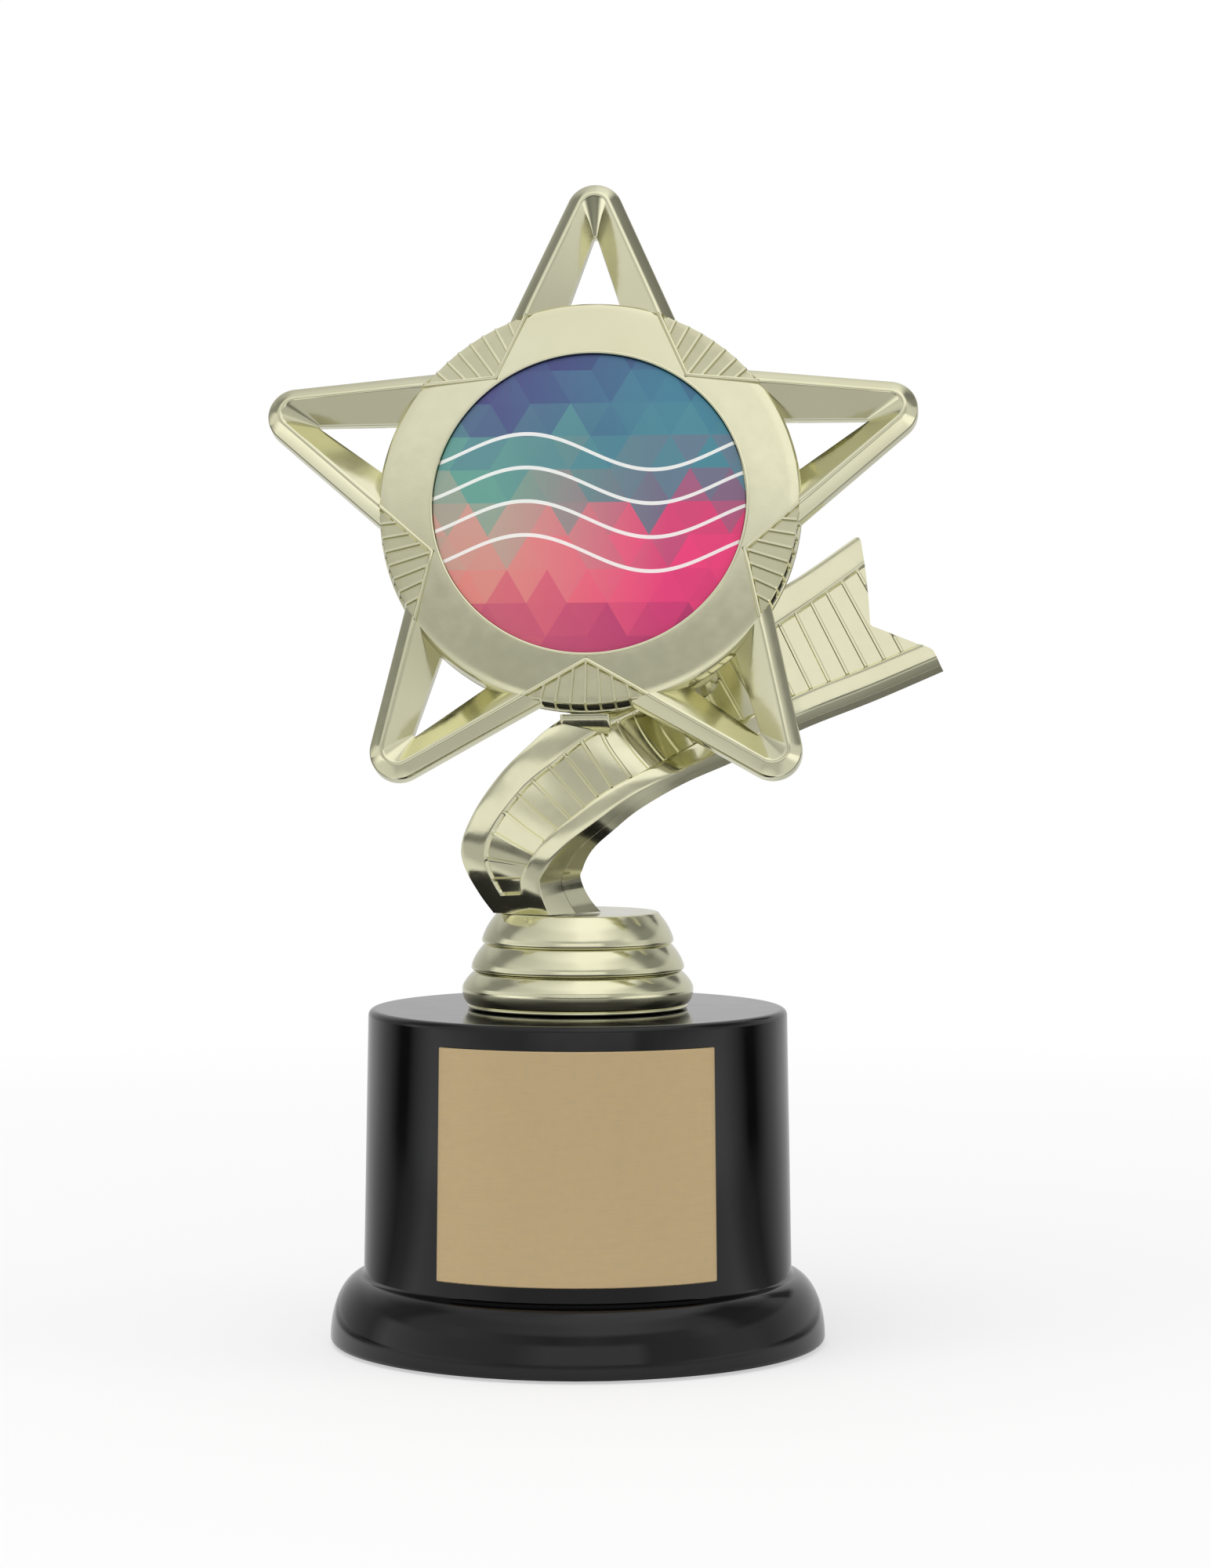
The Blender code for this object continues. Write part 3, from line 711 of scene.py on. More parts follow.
@dataclass(frozen=True)
class FacetPrint(Finish):
    """Printed film: triangular facets in colours that run from deep blue down to pink, under pale waves.

    Attributes:
        centre: middle of the print in metres.
        angles: angles of the print's plane in radians.
        radius: radius of the print in metres.
        facet: side of a facet in metres.
        tint_start: place in the colours at the middle of the print.
        tint_jitter: how far facets stray in the colours.
        left: places and colours down the left side, from the bottom.
        right: places and colours down the right side.
        wave_pitch: distance between pale lines in metres.
        wave_rate: radians of the wave for each metre.
        wave_height: half height of the wave in metres.
        line: half width of a pale line as a share of the pitch.
        line_count: lines on each side of the middle.
        line_cover: share of the pale ink that covers.
        line_colour: pale ink.
        gloss: lowest and highest roughness of the film.
        film_height: height of the film's unevenness in metres.
    """

    centre: Point
    angles: Point
    radius: float
    facet: float = 0.0066
    tint_start: float = 0.42
    tint_jitter: float = 0.16
    left: tuple[tuple[float, Colour], ...] = (
        (0.0, (0.52, 0.09, 0.16)), (0.2, (0.72, 0.2, 0.18)), (0.36, (0.5, 0.32, 0.26)),
        (0.5, (0.12, 0.33, 0.26)), (0.66, (0.09, 0.24, 0.26)), (0.82, (0.06, 0.07, 0.2)),
        (1.0, (0.045, 0.03, 0.16)),
    )
    right: tuple[tuple[float, Colour], ...] = (
        (0.0, (0.45, 0.03, 0.14)), (0.2, (0.76, 0.045, 0.18)), (0.36, (0.6, 0.05, 0.16)),
        (0.5, (0.16, 0.12, 0.2)), (0.66, (0.06, 0.22, 0.27)), (0.82, (0.04, 0.17, 0.26)),
        (1.0, (0.035, 0.1, 0.2)),
    )
    wave_pitch: float = 0.0058
    wave_rate: float = 150.0
    wave_height: float = 0.0032
    line: float = 0.055
    line_count: float = 2.0
    line_cover: float = 0.85
    line_colour: Colour = (0.85, 0.85, 0.82)
    gloss: Pair = (0.3, 0.36)
    film_height: float = 0.0002

    def facets(self, nodes: MaterialNodes, across: Socket, up: Socket) -> Socket:
        """Colours of the facets: skewed cells are split along a diagonal, and each half takes one tint.

        Args:
            nodes: material to fill.
            across: distance to the right of the middle.
            up: distance above the middle.

        Returns:
            The colour.
        """
        row_height = self.facet * math.sqrt(3) / 2
        row = nodes.math("DIVIDE", up, row_height)
        shift = nodes.math("MULTIPLY", row, 0.5)
        column = nodes.math("SUBTRACT", nodes.math("DIVIDE", across, self.facet), shift)
        spare = nodes.math("ADD", nodes.math("FRACT", row), nodes.math("FRACT", column))
        half = nodes.math("GREATER_THAN", spare, 1.0)
        whole_row = nodes.math("FLOOR", row)
        cell = nodes.add("ShaderNodeCombineXYZ")
        for source, target in zip((nodes.math("FLOOR", column), whole_row, half), cell.inputs):
            nodes.link(source, target)
        chance = nodes.add("ShaderNodeTexWhiteNoise", noise_dimensions="3D")
        nodes.link(cell.outputs["Vector"], chance.inputs["Vector"])
        middle_row = nodes.math("ADD", whole_row, nodes.math("MULTIPLY", half, 0.33))
        height = nodes.math("DIVIDE", nodes.math("MULTIPLY", middle_row, row_height), self.radius)
        stray = nodes.math("MULTIPLY", chance.outputs["Value"], self.tint_jitter)
        level = nodes.math("ADD", nodes.math("MULTIPLY", height, 0.5), stray)
        level = nodes.math("ADD", level, self.tint_start)
        side = nodes.spread(across, 0.0, 1.0, -0.6 * self.radius, 0.5 * self.radius)
        return nodes.mix(side, nodes.ramp(level, self.left), nodes.ramp(level, self.right))

    def lines(self, nodes: MaterialNodes, across: Socket, up: Socket) -> Socket:
        """Cover of the pale lines: evenly spaced levels that a sine bends.

        Args:
            nodes: material to fill.
            across: distance to the right of the middle.
            up: distance above the middle.

        Returns:
            The cover.
        """
        sine = nodes.math("SINE", nodes.math("MULTIPLY", across, self.wave_rate))
        bend = nodes.math("MULTIPLY", sine, self.wave_height)
        lift = nodes.math("DIVIDE", nodes.math("ADD", up, bend), self.wave_pitch)
        offset = nodes.math("ABSOLUTE", nodes.math("SUBTRACT", nodes.math("FRACT", lift), 0.5))
        order = nodes.math("ABSOLUTE", nodes.math("ADD", nodes.math("FLOOR", lift), 0.5))
        near, inside = (nodes.math("LESS_THAN", value, limit)
                        for value, limit in ((offset, self.line), (order, self.line_count)))
        return nodes.math("MULTIPLY", nodes.math("MULTIPLY", near, inside), self.line_cover)

    def paint(self, nodes: MaterialNodes) -> None:
        """Lays the pale lines over the facets, under a slightly uneven film.

        Args:
            nodes: material to fill.
        """
        nodes.set(specular_ior_level=0.4)
        split = nodes.split(nodes.turned_place(self.centre, self.angles))
        where = split.outputs["X"], split.outputs["Y"]
        lines, facets = self.lines(nodes, *where), self.facets(nodes, *where)
        nodes.feed(base_color=nodes.mix(lines, facets, self.line_colour),
                   roughness=nodes.spread(nodes.noise(260.0, 2.0), *self.gloss),
                   normal=nodes.bump(nodes.noise(120.0, 1.0), 0.05, self.film_height))


# Base


@dataclass
class Base:
    """Weighted black base with a flared foot, and the plate wrapped round its front.

    Attributes:
        top_radius: radius of the wall at the top.
        waist_radius: radius of the wall at the foot.
        waist_z: level where the foot begins.
        top_edge: radius of the top edge.
        foot_spread: how far the foot stands out.
        foot_edge_z: level of the foot's widest line.
        foot_edge: radius of the foot's lower edge.
        bore_radius: hole for the tie rod.
        cavity_radius: hollow for the weight.
        rebate_radius: seat of the cover.
        roof: thickness of the top.
        plate_width: width of the plate along its curve.
        plate_gap: tape and gaps under the plate.
        plate_thickness: thickness of the plate.
        plate_drop: how far the plate's foot and head stand below those of its solid.
        plate_edge: softening of the plate's edges.
        plate_columns: points across the plate.
        cover_gap: gap over the cover.
        steps: facets round the base.
        height: level of the top.
    """

    top_radius: float = 34.4
    waist_radius: float = 35.2
    waist_z: float = 11.4
    top_edge: float = 1.1
    foot_spread: float = 5.5
    foot_edge_z: float = 1.2
    foot_edge: float = 0.8
    bore_radius: float = 3.475
    cavity_radius: float = 32.4
    rebate_radius: float = 38.3
    roof: float = 2.5
    plate_width: float = 46.8
    plate_gap: float = 0.5
    plate_thickness: float = 0.5
    plate_drop: Pair = (0.3, 0.4)
    plate_edge: float = 0.14
    plate_columns: int = 96
    cover_gap: float = 0.15
    steps: int = 192
    height: float = field(default_factory=lambda: top_of("base_shell"))

    def wall_radius(self, z: Array | float) -> Array | float:
        """Radius of the drafted wall at a level: straight from the waist to the top."""
        share = (z - self.waist_z) / (self.height - self.waist_z)
        return self.waist_radius + (self.top_radius - self.waist_radius) * share

    def shell(self, black: Material) -> None:
        """Shell: top, rounded edge, drafted wall, quarter-round foot, rebate and hollow as one profile.

        Args:
            black: finish of the shell.
        """
        edge_z = self.height - self.top_edge
        edge_radius = float(self.wall_radius(edge_z)) - self.top_edge
        foot_height = self.waist_z - self.foot_edge_z
        foot_radius = self.waist_radius + self.foot_spread
        cover_z = top_of("bottom_cover") + self.cover_gap
        roof_z = self.height - self.roof
        profile = np.vstack([
            [(self.bore_radius, self.height), (edge_radius - 0.2, self.height)],
            arc((edge_radius, edge_z), (self.top_edge, self.top_edge), 90, 0, 9),
            [(self.wall_radius(self.waist_z + 0.3), self.waist_z + 0.3)],
            arc((self.waist_radius, self.foot_edge_z), (self.foot_spread, foot_height), 86, 0, 28),
            arc((foot_radius - self.foot_edge, self.foot_edge_z), (self.foot_edge,) * 2, -15, -90, 6),
            [(self.rebate_radius, self.foot_edge_z - self.foot_edge), (self.rebate_radius, cover_z)],
            [(self.cavity_radius, cover_z), (self.cavity_radius, roof_z), (self.bore_radius, roof_z)],
        ])
        seat(make_piece("base_gloss_shell", [turned(profile, self.steps)], [black]),
             Body.BASE, "base_shell")

    def plate(self, brass: Material) -> None:
        """Plate bent round the wall: angle and level give (r sin a, -r cos a, z), closed round its thickness.

        Args:
            brass: finish of the plate.
        """
        low = bottom_of("engraving_plate") - self.plate_drop[0]
        high = top_of("engraving_plate") - self.plate_drop[1]
        half = self.plate_width / 2 / (self.wall_radius((low + high) / 2) + self.plate_gap)
        soft, thick = self.plate_edge, self.plate_thickness
        lift = np.array([0.0, thick - soft, thick, thick])
        inset = np.array([0.0, 0.0, soft, 2 * soft])
        inner = np.linspace(low, high, 12)[1:-1]
        rows = np.concatenate([low + inset, inner, (high - inset)[::-1]])
        row_lift = np.concatenate([lift, np.full(len(inner), thick), lift[::-1]])
        angle = np.linspace(-half, half, self.plate_columns)
        drop = np.zeros(self.plate_columns)
        drop[[0, -1]] = soft
        z = rows[:, None] + 0.0 * angle
        raised = np.maximum(row_lift[:, None] - drop * (row_lift[:, None] > 0), 0.0)
        radius = self.wall_radius(z) + self.plate_gap + raised
        points = np.stack([radius * np.sin(angle), -radius * np.cos(angle), z], axis=2)
        middle = len(rows) // 2
        ends = [np.stack([points[:middle, edge], points[::-1][:middle, edge]], axis=1) for edge in (0, -1)]
        grids = [Grid(points, rows_close=True), *(Grid(end) for end in ends)]
        seat(make_piece("plate_satin_sheet", grids, [brass]), Body.BASE, "engraving_plate")


# Collar


@dataclass
class Collar:
    """Three convex tiers under the ribbon, parted by seams: two on the cap and one on the skirt.

    Attributes:
        top_radius: radius of the flat top.
        top_edge: radius of the top's edge.
        tier_radii: widest radius of each tier from the top down.
        shoulder_radii: radius of each tier under the seam above it.
        lip: radius of each tier's lower edge.
        belly: how far a flank bows out of a straight line.
        tuck: height of the point that the skirt's lower wall bends towards.
        bead: radius of the bead round the skirt's foot.
        spigot_gap: gap round the spigot.
        upper_height: height of the top tier.
        lower_height: height of the second tier.
        bulge: height of the skirt's widest line above its foot.
        foot_radius: radius of the skirt on the base.
        spigot_radius: spigot of the cap inside the skirt.
        pocket_radius: pocket of the captive nut.
        roof: thickness over the pocket.
        steps: facets round the collar.
    """

    top_radius: float = 13.5
    top_edge: float = 0.6
    tier_radii: Point = (15.75, 17.5, 19.0)
    shoulder_radii: Point = (13.4, 15.2, 17.0)
    lip: float = 0.5
    belly: float = 0.22
    tuck: float = 1.3
    bead: float = 0.3
    spigot_gap: float = 0.3
    upper_height: float = 5.1
    lower_height: float = 4.4
    bulge: float = 3.1
    foot_radius: float = 17.8
    spigot_radius: float = 10.0
    pocket_radius: float = 6.75
    roof: float = 2.5
    steps: int = 192

    def flank(self, tier: int, top: float, bottom: float) -> Array:
        """Flank of a tier: almost straight from its shoulder to its widest line, then a rounded lower lip.

        Args:
            tier: tier counted from the top.
            top: upper level.
            bottom: lower level.

        Returns:
            Profile points.
        """
        wide = self.tier_radii[tier]
        return np.vstack([
            self.slope(tier, top, bottom + 1.7 * self.lip, 0.0),
            arc((wide - self.lip, bottom + self.lip), (self.lip, self.lip), 25, -90, 8),
        ])

    def slope(self, tier: int, top: float, low: float, lift: float) -> Array:
        """Bowed line from a tier's shoulder to its widest line.

        Args:
            tier: tier counted from the top.
            top: upper level.
            low: lower level.
            lift: height of the line's end over it.

        Returns:
            Profile points.
        """
        wide, narrow = self.tier_radii[tier], self.shoulder_radii[tier]
        pull = (0.5 * (wide + narrow) + 2 * self.belly, 0.5 * (top + low) + self.belly)
        return bow((narrow, top), pull, (wide - 0.05, low + lift), 10)

    def cap(self, gold: Material) -> None:
        """Cap: flat top, two tiers, spigot and nut pocket as one turned profile.

        Args:
            gold: finish of the cap.
        """
        top, foot = top_of("collar_cap"), bottom_of("collar_cap")
        seam = top - self.upper_height
        low = seam - self.lower_height
        pocket = top - self.roof
        profile = np.vstack([
            [(0.0, top), (self.top_radius - self.top_edge - 0.15, top)],
            arc((self.top_radius - self.top_edge, top - self.top_edge), (self.top_edge,) * 2, 90, 40, 5),
            self.flank(0, top - 0.6 * self.top_edge, seam)[1:],
            [(self.shoulder_radii[1], seam)],
            self.flank(1, seam, low)[1:],
            [(self.spigot_radius, low), (self.spigot_radius, foot)],
            [(self.pocket_radius, foot), (self.pocket_radius, pocket), (0.0, pocket)],
        ])
        seat(make_piece("collar_two_tier_cap", [turned(profile, self.steps, closes=False)], [gold]),
             Body.FIGURE, "collar_cap")

    def skirt(self, gold: Material) -> None:
        """Skirt: bowed out to its widest line, bowed back to a small foot bead, and bored for the spigot.

        Args:
            gold: finish of the skirt.
        """
        top, foot = top_of("collar_skirt"), bottom_of("collar_skirt")
        wide, bead, widest = self.tier_radii[2], self.bead, foot + self.bulge
        bore = self.spigot_radius + self.spigot_gap
        profile = np.vstack([
            [(bore, top)],
            self.slope(2, top, widest, 0.4),
            arc((wide - self.lip, widest), (self.lip, self.lip), 25, 0, 6),
            bow((wide, widest), (wide, foot + self.tuck), (self.foot_radius + 0.2, foot + 2 * bead), 14)[1:],
            arc((self.foot_radius, foot + bead), (bead, bead), 60, -90, 7),
            [(bore, foot)],
        ])
        seat(make_piece("collar_bulged_skirt", [turned(profile, self.steps)], [gold]),
             Body.FIGURE, "collar_skirt")


# Ribbon


@dataclass
class Ribbon:
    """Ribbon stem: raised borders along a sunken band with cross ribs, ending in a swallow tail.

    Attributes:
        upper: points on the upper front edge above the collar, from foot to tail.
        lower: points on the lower front edge.
        to_back: way from the front to the back at each pair of points.
        upper_border: width of the upper border at each pair of points.
        border: width of the lower border.
        crown: height of a border's middle over its edges.
        recess: depth of the band.
        band_start: places between which the band sinks from the plain foot.
        step: width of the wall between border and band.
        rib_pitch: distance between ribs.
        rib_width: width of a rib at its top and at its foot.
        rib_height: height of a rib over the band.
        draft: how far the lower side spreads towards the back.
        flare: how much further it spreads on the collar.
        flare_height: height over which the flare fades.
        notch_depth: depth of the swallow tail.
        notch_place: place of the notch across the ribbon.
        tail_corner: rounding of the tail's corners.
        seat_gap: gap over the collar.
        joint_gap: gap between the halves.
        soft: softening of the borders' outer edges.
        rear_round: width of the rounding of the rear edges.
        collar_top: level of the collar's top.
    """

    upper: tuple[Point, ...] = (
        (-10.0, -2.5, -4.8), (-16.1, -8.0, 3.5), (-18.9, -11.5, 10.2), (-17.1, -12.0, 16.3),
        (-12.9, -11.0, 22.6), (-8.3, -10.0, 27.3), (-2.7, -8.0, 31.8), (11.9, -3.0, 40.3),
        (24.8, 1.5, 48.0), (36.5, 4.0, 55.1), (46.6, 6.5, 62.1),
    )
    lower: tuple[Point, ...] = (
        (-2.5, -9.5, -4.8), (-6.0, -12.4, 4.2), (-4.7, -13.2, 8.1), (-1.8, -13.0, 11.6),
        (3.0, -12.0, 15.3), (8.0, -10.5, 18.8), (15.7, -8.0, 22.8), (24.7, -3.0, 26.8),
        (36.3, 1.5, 32.1), (48.4, 4.0, 36.8), (61.0, 6.5, 42.1),
    )
    to_back: tuple[Point, ...] = (
        (6.0, 12.0, 0.0), (5.5, 10.0, 0.5), (4.2, 8.0, -0.5), (3.0, 6.0, -0.5), (1.5, 5.0, -1.0),
        (0.8, 4.5, -1.0), (0.4, 4.0, -0.9), (0.3, 4.0, -0.9), (0.3, 4.0, -0.9), (0.3, 4.0, -0.9),
        (0.3, 4.0, -0.9),
    )
    upper_border: tuple[float, ...] = (3.4, 3.6, 3.9, 4.1, 4.5, 5.2, 5.6, 5.4, 5.0, 4.5, 4.4)
    border: float = 3.4
    crown: float = 0.06
    recess: float = 0.8
    band_start: Pair = (0.92, 1.0)
    step: float = 0.3
    rib_pitch: float = 3.25
    rib_width: Pair = (0.34, 0.62)
    rib_height: float = 0.42
    draft: float = 1.7
    flare: float = 1.6
    flare_height: float = 8.0
    notch_depth: float = 8.0
    notch_place: float = 0.575
    tail_corner: float = 1.3
    seat_gap: float = 0.15
    joint_gap: float = 0.03
    soft: float = 0.3
    rear_round: float = 1.6
    collar_top: float = field(default_factory=lambda: top_of("collar_cap"))

    @staticmethod
    def curve(points: tuple[Point, ...], places: Array) -> Array:
        """Catmull-Rom curve: the cubic through each pair of points with slopes from their neighbours.

        Args:
            points: points to pass through.
            places: places counted in points, of any shape.

        Returns:
            Points with a last axis of three.
        """
        given = np.array(points)
        padded = np.vstack([2 * given[0] - given[1], given, 2 * given[-1] - given[-2]])
        first = np.clip(np.floor(places).astype(int), 0, len(given) - 2)
        t = (places - first)[..., None]
        before, start, end, after = (padded[first + i] for i in range(4))
        return 0.5 * (2 * start + (end - before) * t + (2 * before - 5 * start + 4 * end - after) * t ** 2
                      + (3 * start - before - 3 * end + after) * t ** 3)

    def sheet(self, places: Array, share: Array, offset: Array, depth: Array | float, way: float,
              spread: Array) -> Array:
        """Points of one layer: edge to edge by share and offset, then back by a way and a depth.

        The lower side spreads by the draft, and near the collar by a flare that falls with the fourth
        power of the height.

        Args:
            places: places along the ribbon, rows by lanes.
            share: share of the width of each lane.
            offset: further distance of each lane.
            depth: depth below the layer in millimetres, rows by lanes.
            way: share of the way to the back.
            spread: share of the draft that each lane takes.

        Returns:
            Rows by lanes by three points above the collar.
        """
        upper = self.curve(self.upper, places)
        across = self.curve(self.lower, places) - upper
        back = self.curve(self.to_back, places)
        outwards = across / np.linalg.norm(across, axis=2, keepdims=True)
        inwards = back / np.linalg.norm(back, axis=2, keepdims=True)
        run = self.widened(offset, places) + spread * self.draft * way
        line = upper + across * share[:, None] + outwards * run[..., None]
        points = line + back * way + inwards * np.broadcast_to(depth, places.shape)[..., None]
        near_foot = np.clip(1 - points[..., 2:] / self.flare_height, 0.0, 1.0) ** 4
        return points + outwards * near_foot * (spread * self.flare * way)[:, None]

    def widened(self, offset: Array, places: Array | float) -> Array:
        """Offsets from the upper edge, scaled by its border's width over the lower one's at those places."""
        border = np.interp(places, np.arange(len(self.upper_border)), self.upper_border)
        return np.where(offset > 0, offset * border / self.border, offset)

    def band_length(self) -> tuple[Array, Array]:
        """Length along the middle of the band against the place, as sums of short chords.

        Returns:
            Places and lengths.
        """
        places = np.linspace(0.0, len(self.upper) - 1, 1200)
        middle = 0.5 * (self.curve(self.upper, places) + self.curve(self.lower, places))
        steps = np.linalg.norm(np.diff(middle, axis=0), axis=1)
        return places, np.concatenate([[0.0], np.cumsum(steps)])

    def rows(self) -> Array:
        """Places of the rows: both feet and both top edges of each rib, and lines between ribs.

        Returns:
            Rising places from the foot to the tail.
        """
        places, length = self.band_length()
        top, foot = (width / 2 for width in self.rib_width)
        marks = np.concatenate([[-foot, -top, top, foot], np.linspace(foot, self.rib_pitch - foot, 5)[1:-1]])
        whole = self.rib_pitch * np.arange(0, int(length[-1] / self.rib_pitch) + 2)
        along = np.sort((whole[:, None] + marks).ravel())
        along = along[(along > 0.0) & (along < length[-1])]
        return np.interp(np.concatenate([[0.0], along, length[-1:]]), length, places)

    def skew(self, places: Array) -> Array:
        """Shift of place across the whole width that sets a row square to the ribbon's run.

        With the cross vector C and the run T of the middle line, C plus k T stands square to T where k is
        minus C.T over T.T. It fades towards the foot.

        Args:
            places: places of the rows.

        Returns:
            Shift of each row.
        """
        step = 0.02
        upper, lower = (self.curve(edge, places) for edge in (self.upper, self.lower))
        middle = [0.5 * (self.curve(self.upper, places + way) + self.curve(self.lower, places + way))
                  for way in (-step, step)]
        run = (middle[1] - middle[0]) / (2 * step)
        square = -np.sum((lower - upper) * run, axis=1) / np.sum(run * run, axis=1)
        return square * np.clip(places - 1.0, 0.0, 1.0)

    def lane_ends(self, share: Array, offset: Array, way: float, spread: Array) -> tuple[Array, Array]:
        """First and last place of each lane: where it leaves the collar, and the edge of the swallow tail.

        Args:
            share: share of the width of each lane.
            offset: further distance of each lane.
            way: share of the way to the back.
            spread: share of the draft that each lane takes.

        Returns:
            First and last places.
        """
        trial = np.repeat(np.linspace(0.0, 2.0, 240)[:, None], len(share), axis=1)
        height = self.sheet(trial, share, offset, 0.0, way, spread)[..., 2]
        above = np.argmax(height > self.seat_gap, axis=0)[None]
        low, high = (np.take_along_axis(height, above - k, 0) for k in (1, 0))
        step = (self.seat_gap - low) / (high - low) * (trial[1] - trial[0])
        first = np.take_along_axis(trial, above - 1, 0) + step
        pitch = np.linalg.norm(np.subtract(self.lower[-1], self.lower[-2]))
        width = np.linalg.norm(np.subtract(self.lower[-1], self.upper[-1]))
        tail_share = share + self.widened(offset, len(self.upper) - 1) / width
        dip = np.minimum(tail_share / self.notch_place, (1 - tail_share) / (1 - self.notch_place))
        edge = np.clip(np.minimum(tail_share, 1 - tail_share) * width, 0.0, self.tail_corner)
        rounding = self.tail_corner - np.sqrt(self.tail_corner ** 2 - (self.tail_corner - edge) ** 2)
        return first, len(self.upper) - 1 - (np.maximum(dip, 0.0) * self.notch_depth + rounding) / pitch

    def ribs(self, places: Array) -> Array:
        """Height share of the ribs: full over a rib's top, falling straight to its feet.

        Args:
            places: places along the ribbon.

        Returns:
            Shares from nothing to one.
        """
        along = np.interp(places, *self.band_length())
        off = np.abs((along / self.rib_pitch + 0.5) % 1.0 - 0.5) * self.rib_pitch
        top, foot = (width / 2 for width in self.rib_width)
        return np.clip((foot - off) / (foot - top), 0.0, 1.0)

    def half(self, front: tuple[float, Array, Array, Array], rear_way: float, rear_depth: Array | float,
             banded: bool) -> list[Grid]:
        """One half of the ribbon, closed round its section and capped at foot and tail.

        Every lane keeps the same rows, set square to the run and held between its first and last place.

        Args:
            front: way of the front layer, and the share, offset and depth of each lane.
            rear_way: way of the rear layer.
            rear_depth: depth of each lane over the rear layer.
            banded: whether ribs stand on lanes at the band's depth.

        Returns:
            Surfaces of the half.
        """
        way, share, offset, depth = front
        spread = np.clip((share - 0.99) * 100 * (1 + offset / 0.8), 0.0, 1.0)
        rows = self.rows()
        width = np.linalg.norm(self.curve(self.lower, rows) - self.curve(self.upper, rows), axis=1)[:, None]
        lane = share + self.widened(offset, rows[:, None]) / width
        even = rows[:, None] + self.skew(rows)[:, None] * (lane - 0.5)
        face_places = np.clip(even, *self.lane_ends(share, offset, way, spread))
        rear_places = np.clip(even, *self.lane_ends(share, offset, rear_way, spread))
        sunk = np.repeat(depth[None], len(rows), axis=0)
        if banded:
            standing = (face_places == even) & (depth >= self.recess)
            sunk = sunk - self.ribs(rows)[:, None] * self.rib_height * standing
            in_band = (share * (1 - share) > 0) | (np.abs(offset) > self.border - 0.1)
            sunk = np.where(in_band, sunk * np.interp(face_places, self.band_start, (0.0, 1.0)), sunk)
        lift = np.array([0.0, 0.0, self.collar_top])
        face = self.sheet(face_places, share, offset, sunk, way, spread) + lift
        rear = self.sheet(rear_places, share, offset, rear_depth, rear_way, spread) + lift
        face[0, :, 2], rear[0, :, 2] = lift[2] + self.seat_gap, lift[2] + self.seat_gap
        section = Grid(np.concatenate([face, rear[:, ::-1]], axis=1), columns_close=True)
        return [section, *(Grid(np.stack([face[row], rear[row]])) for row in (0, -1))]

    def front(self, gold: Material) -> None:
        """Front half: borders with softened edges, sunken band and ribs.

        Args:
            gold: finish of the ribbon.
        """
        soft = self.soft
        on_border = np.linspace(2 * soft, self.border - 0.25, 6)
        crown = self.crown * (1 - (2 * on_border / self.border - 1) ** 2)
        inner = self.border + self.step
        side = np.concatenate([[0.0, 0.25 * soft, soft], on_border, [self.border - 0.08, self.border, inner]])
        side_depth = np.concatenate([[soft, 0.25 * soft, 0.0], -crown, [0.03, 0.12, self.recess]])
        band = np.linspace(0.0, 1.0, 30)[1:-1]
        share = np.concatenate([np.zeros(len(side)), band, np.ones(len(side))])
        offset = np.concatenate([side, inner * (1 - 2 * band), -side[::-1]])
        depth = np.concatenate([side_depth, np.full(len(band), self.recess), side_depth[::-1]])
        grids = self.half((0.0, share, offset, depth), 0.5, 0.0, True)
        seat(make_piece("ribbon_ribbed_front", grids, [gold], 28.0), Body.FIGURE, "ribbon_front")

    def back(self, gold: Material) -> None:
        """Back half: plain, with rounded rear edges.

        Args:
            gold: finish of the ribbon.
        """
        gap = self.joint_gap / float(np.linalg.norm(self.to_back[-1]))
        side = np.array([0.0, 0.2, 0.7, self.rear_round])
        middle = np.linspace(0.0, 1.0, 17)[1:-1]
        share = np.concatenate([np.zeros(4), middle, np.ones(4)])
        offset = np.concatenate([side, self.rear_round * (1 - 2 * middle), -side[::-1]])
        round_off = np.array([-0.7, -0.2, 0.0, 0.0])
        rear_depth = np.concatenate([round_off, np.zeros(len(middle)), round_off[::-1]])
        grids = self.half((0.5 + gap, share, offset, np.zeros(len(share))), 1.0, rear_depth, False)
        seat(make_piece("ribbon_plain_back", grids, [gold], 40.0), Body.FIGURE, "ribbon_back")


# Star


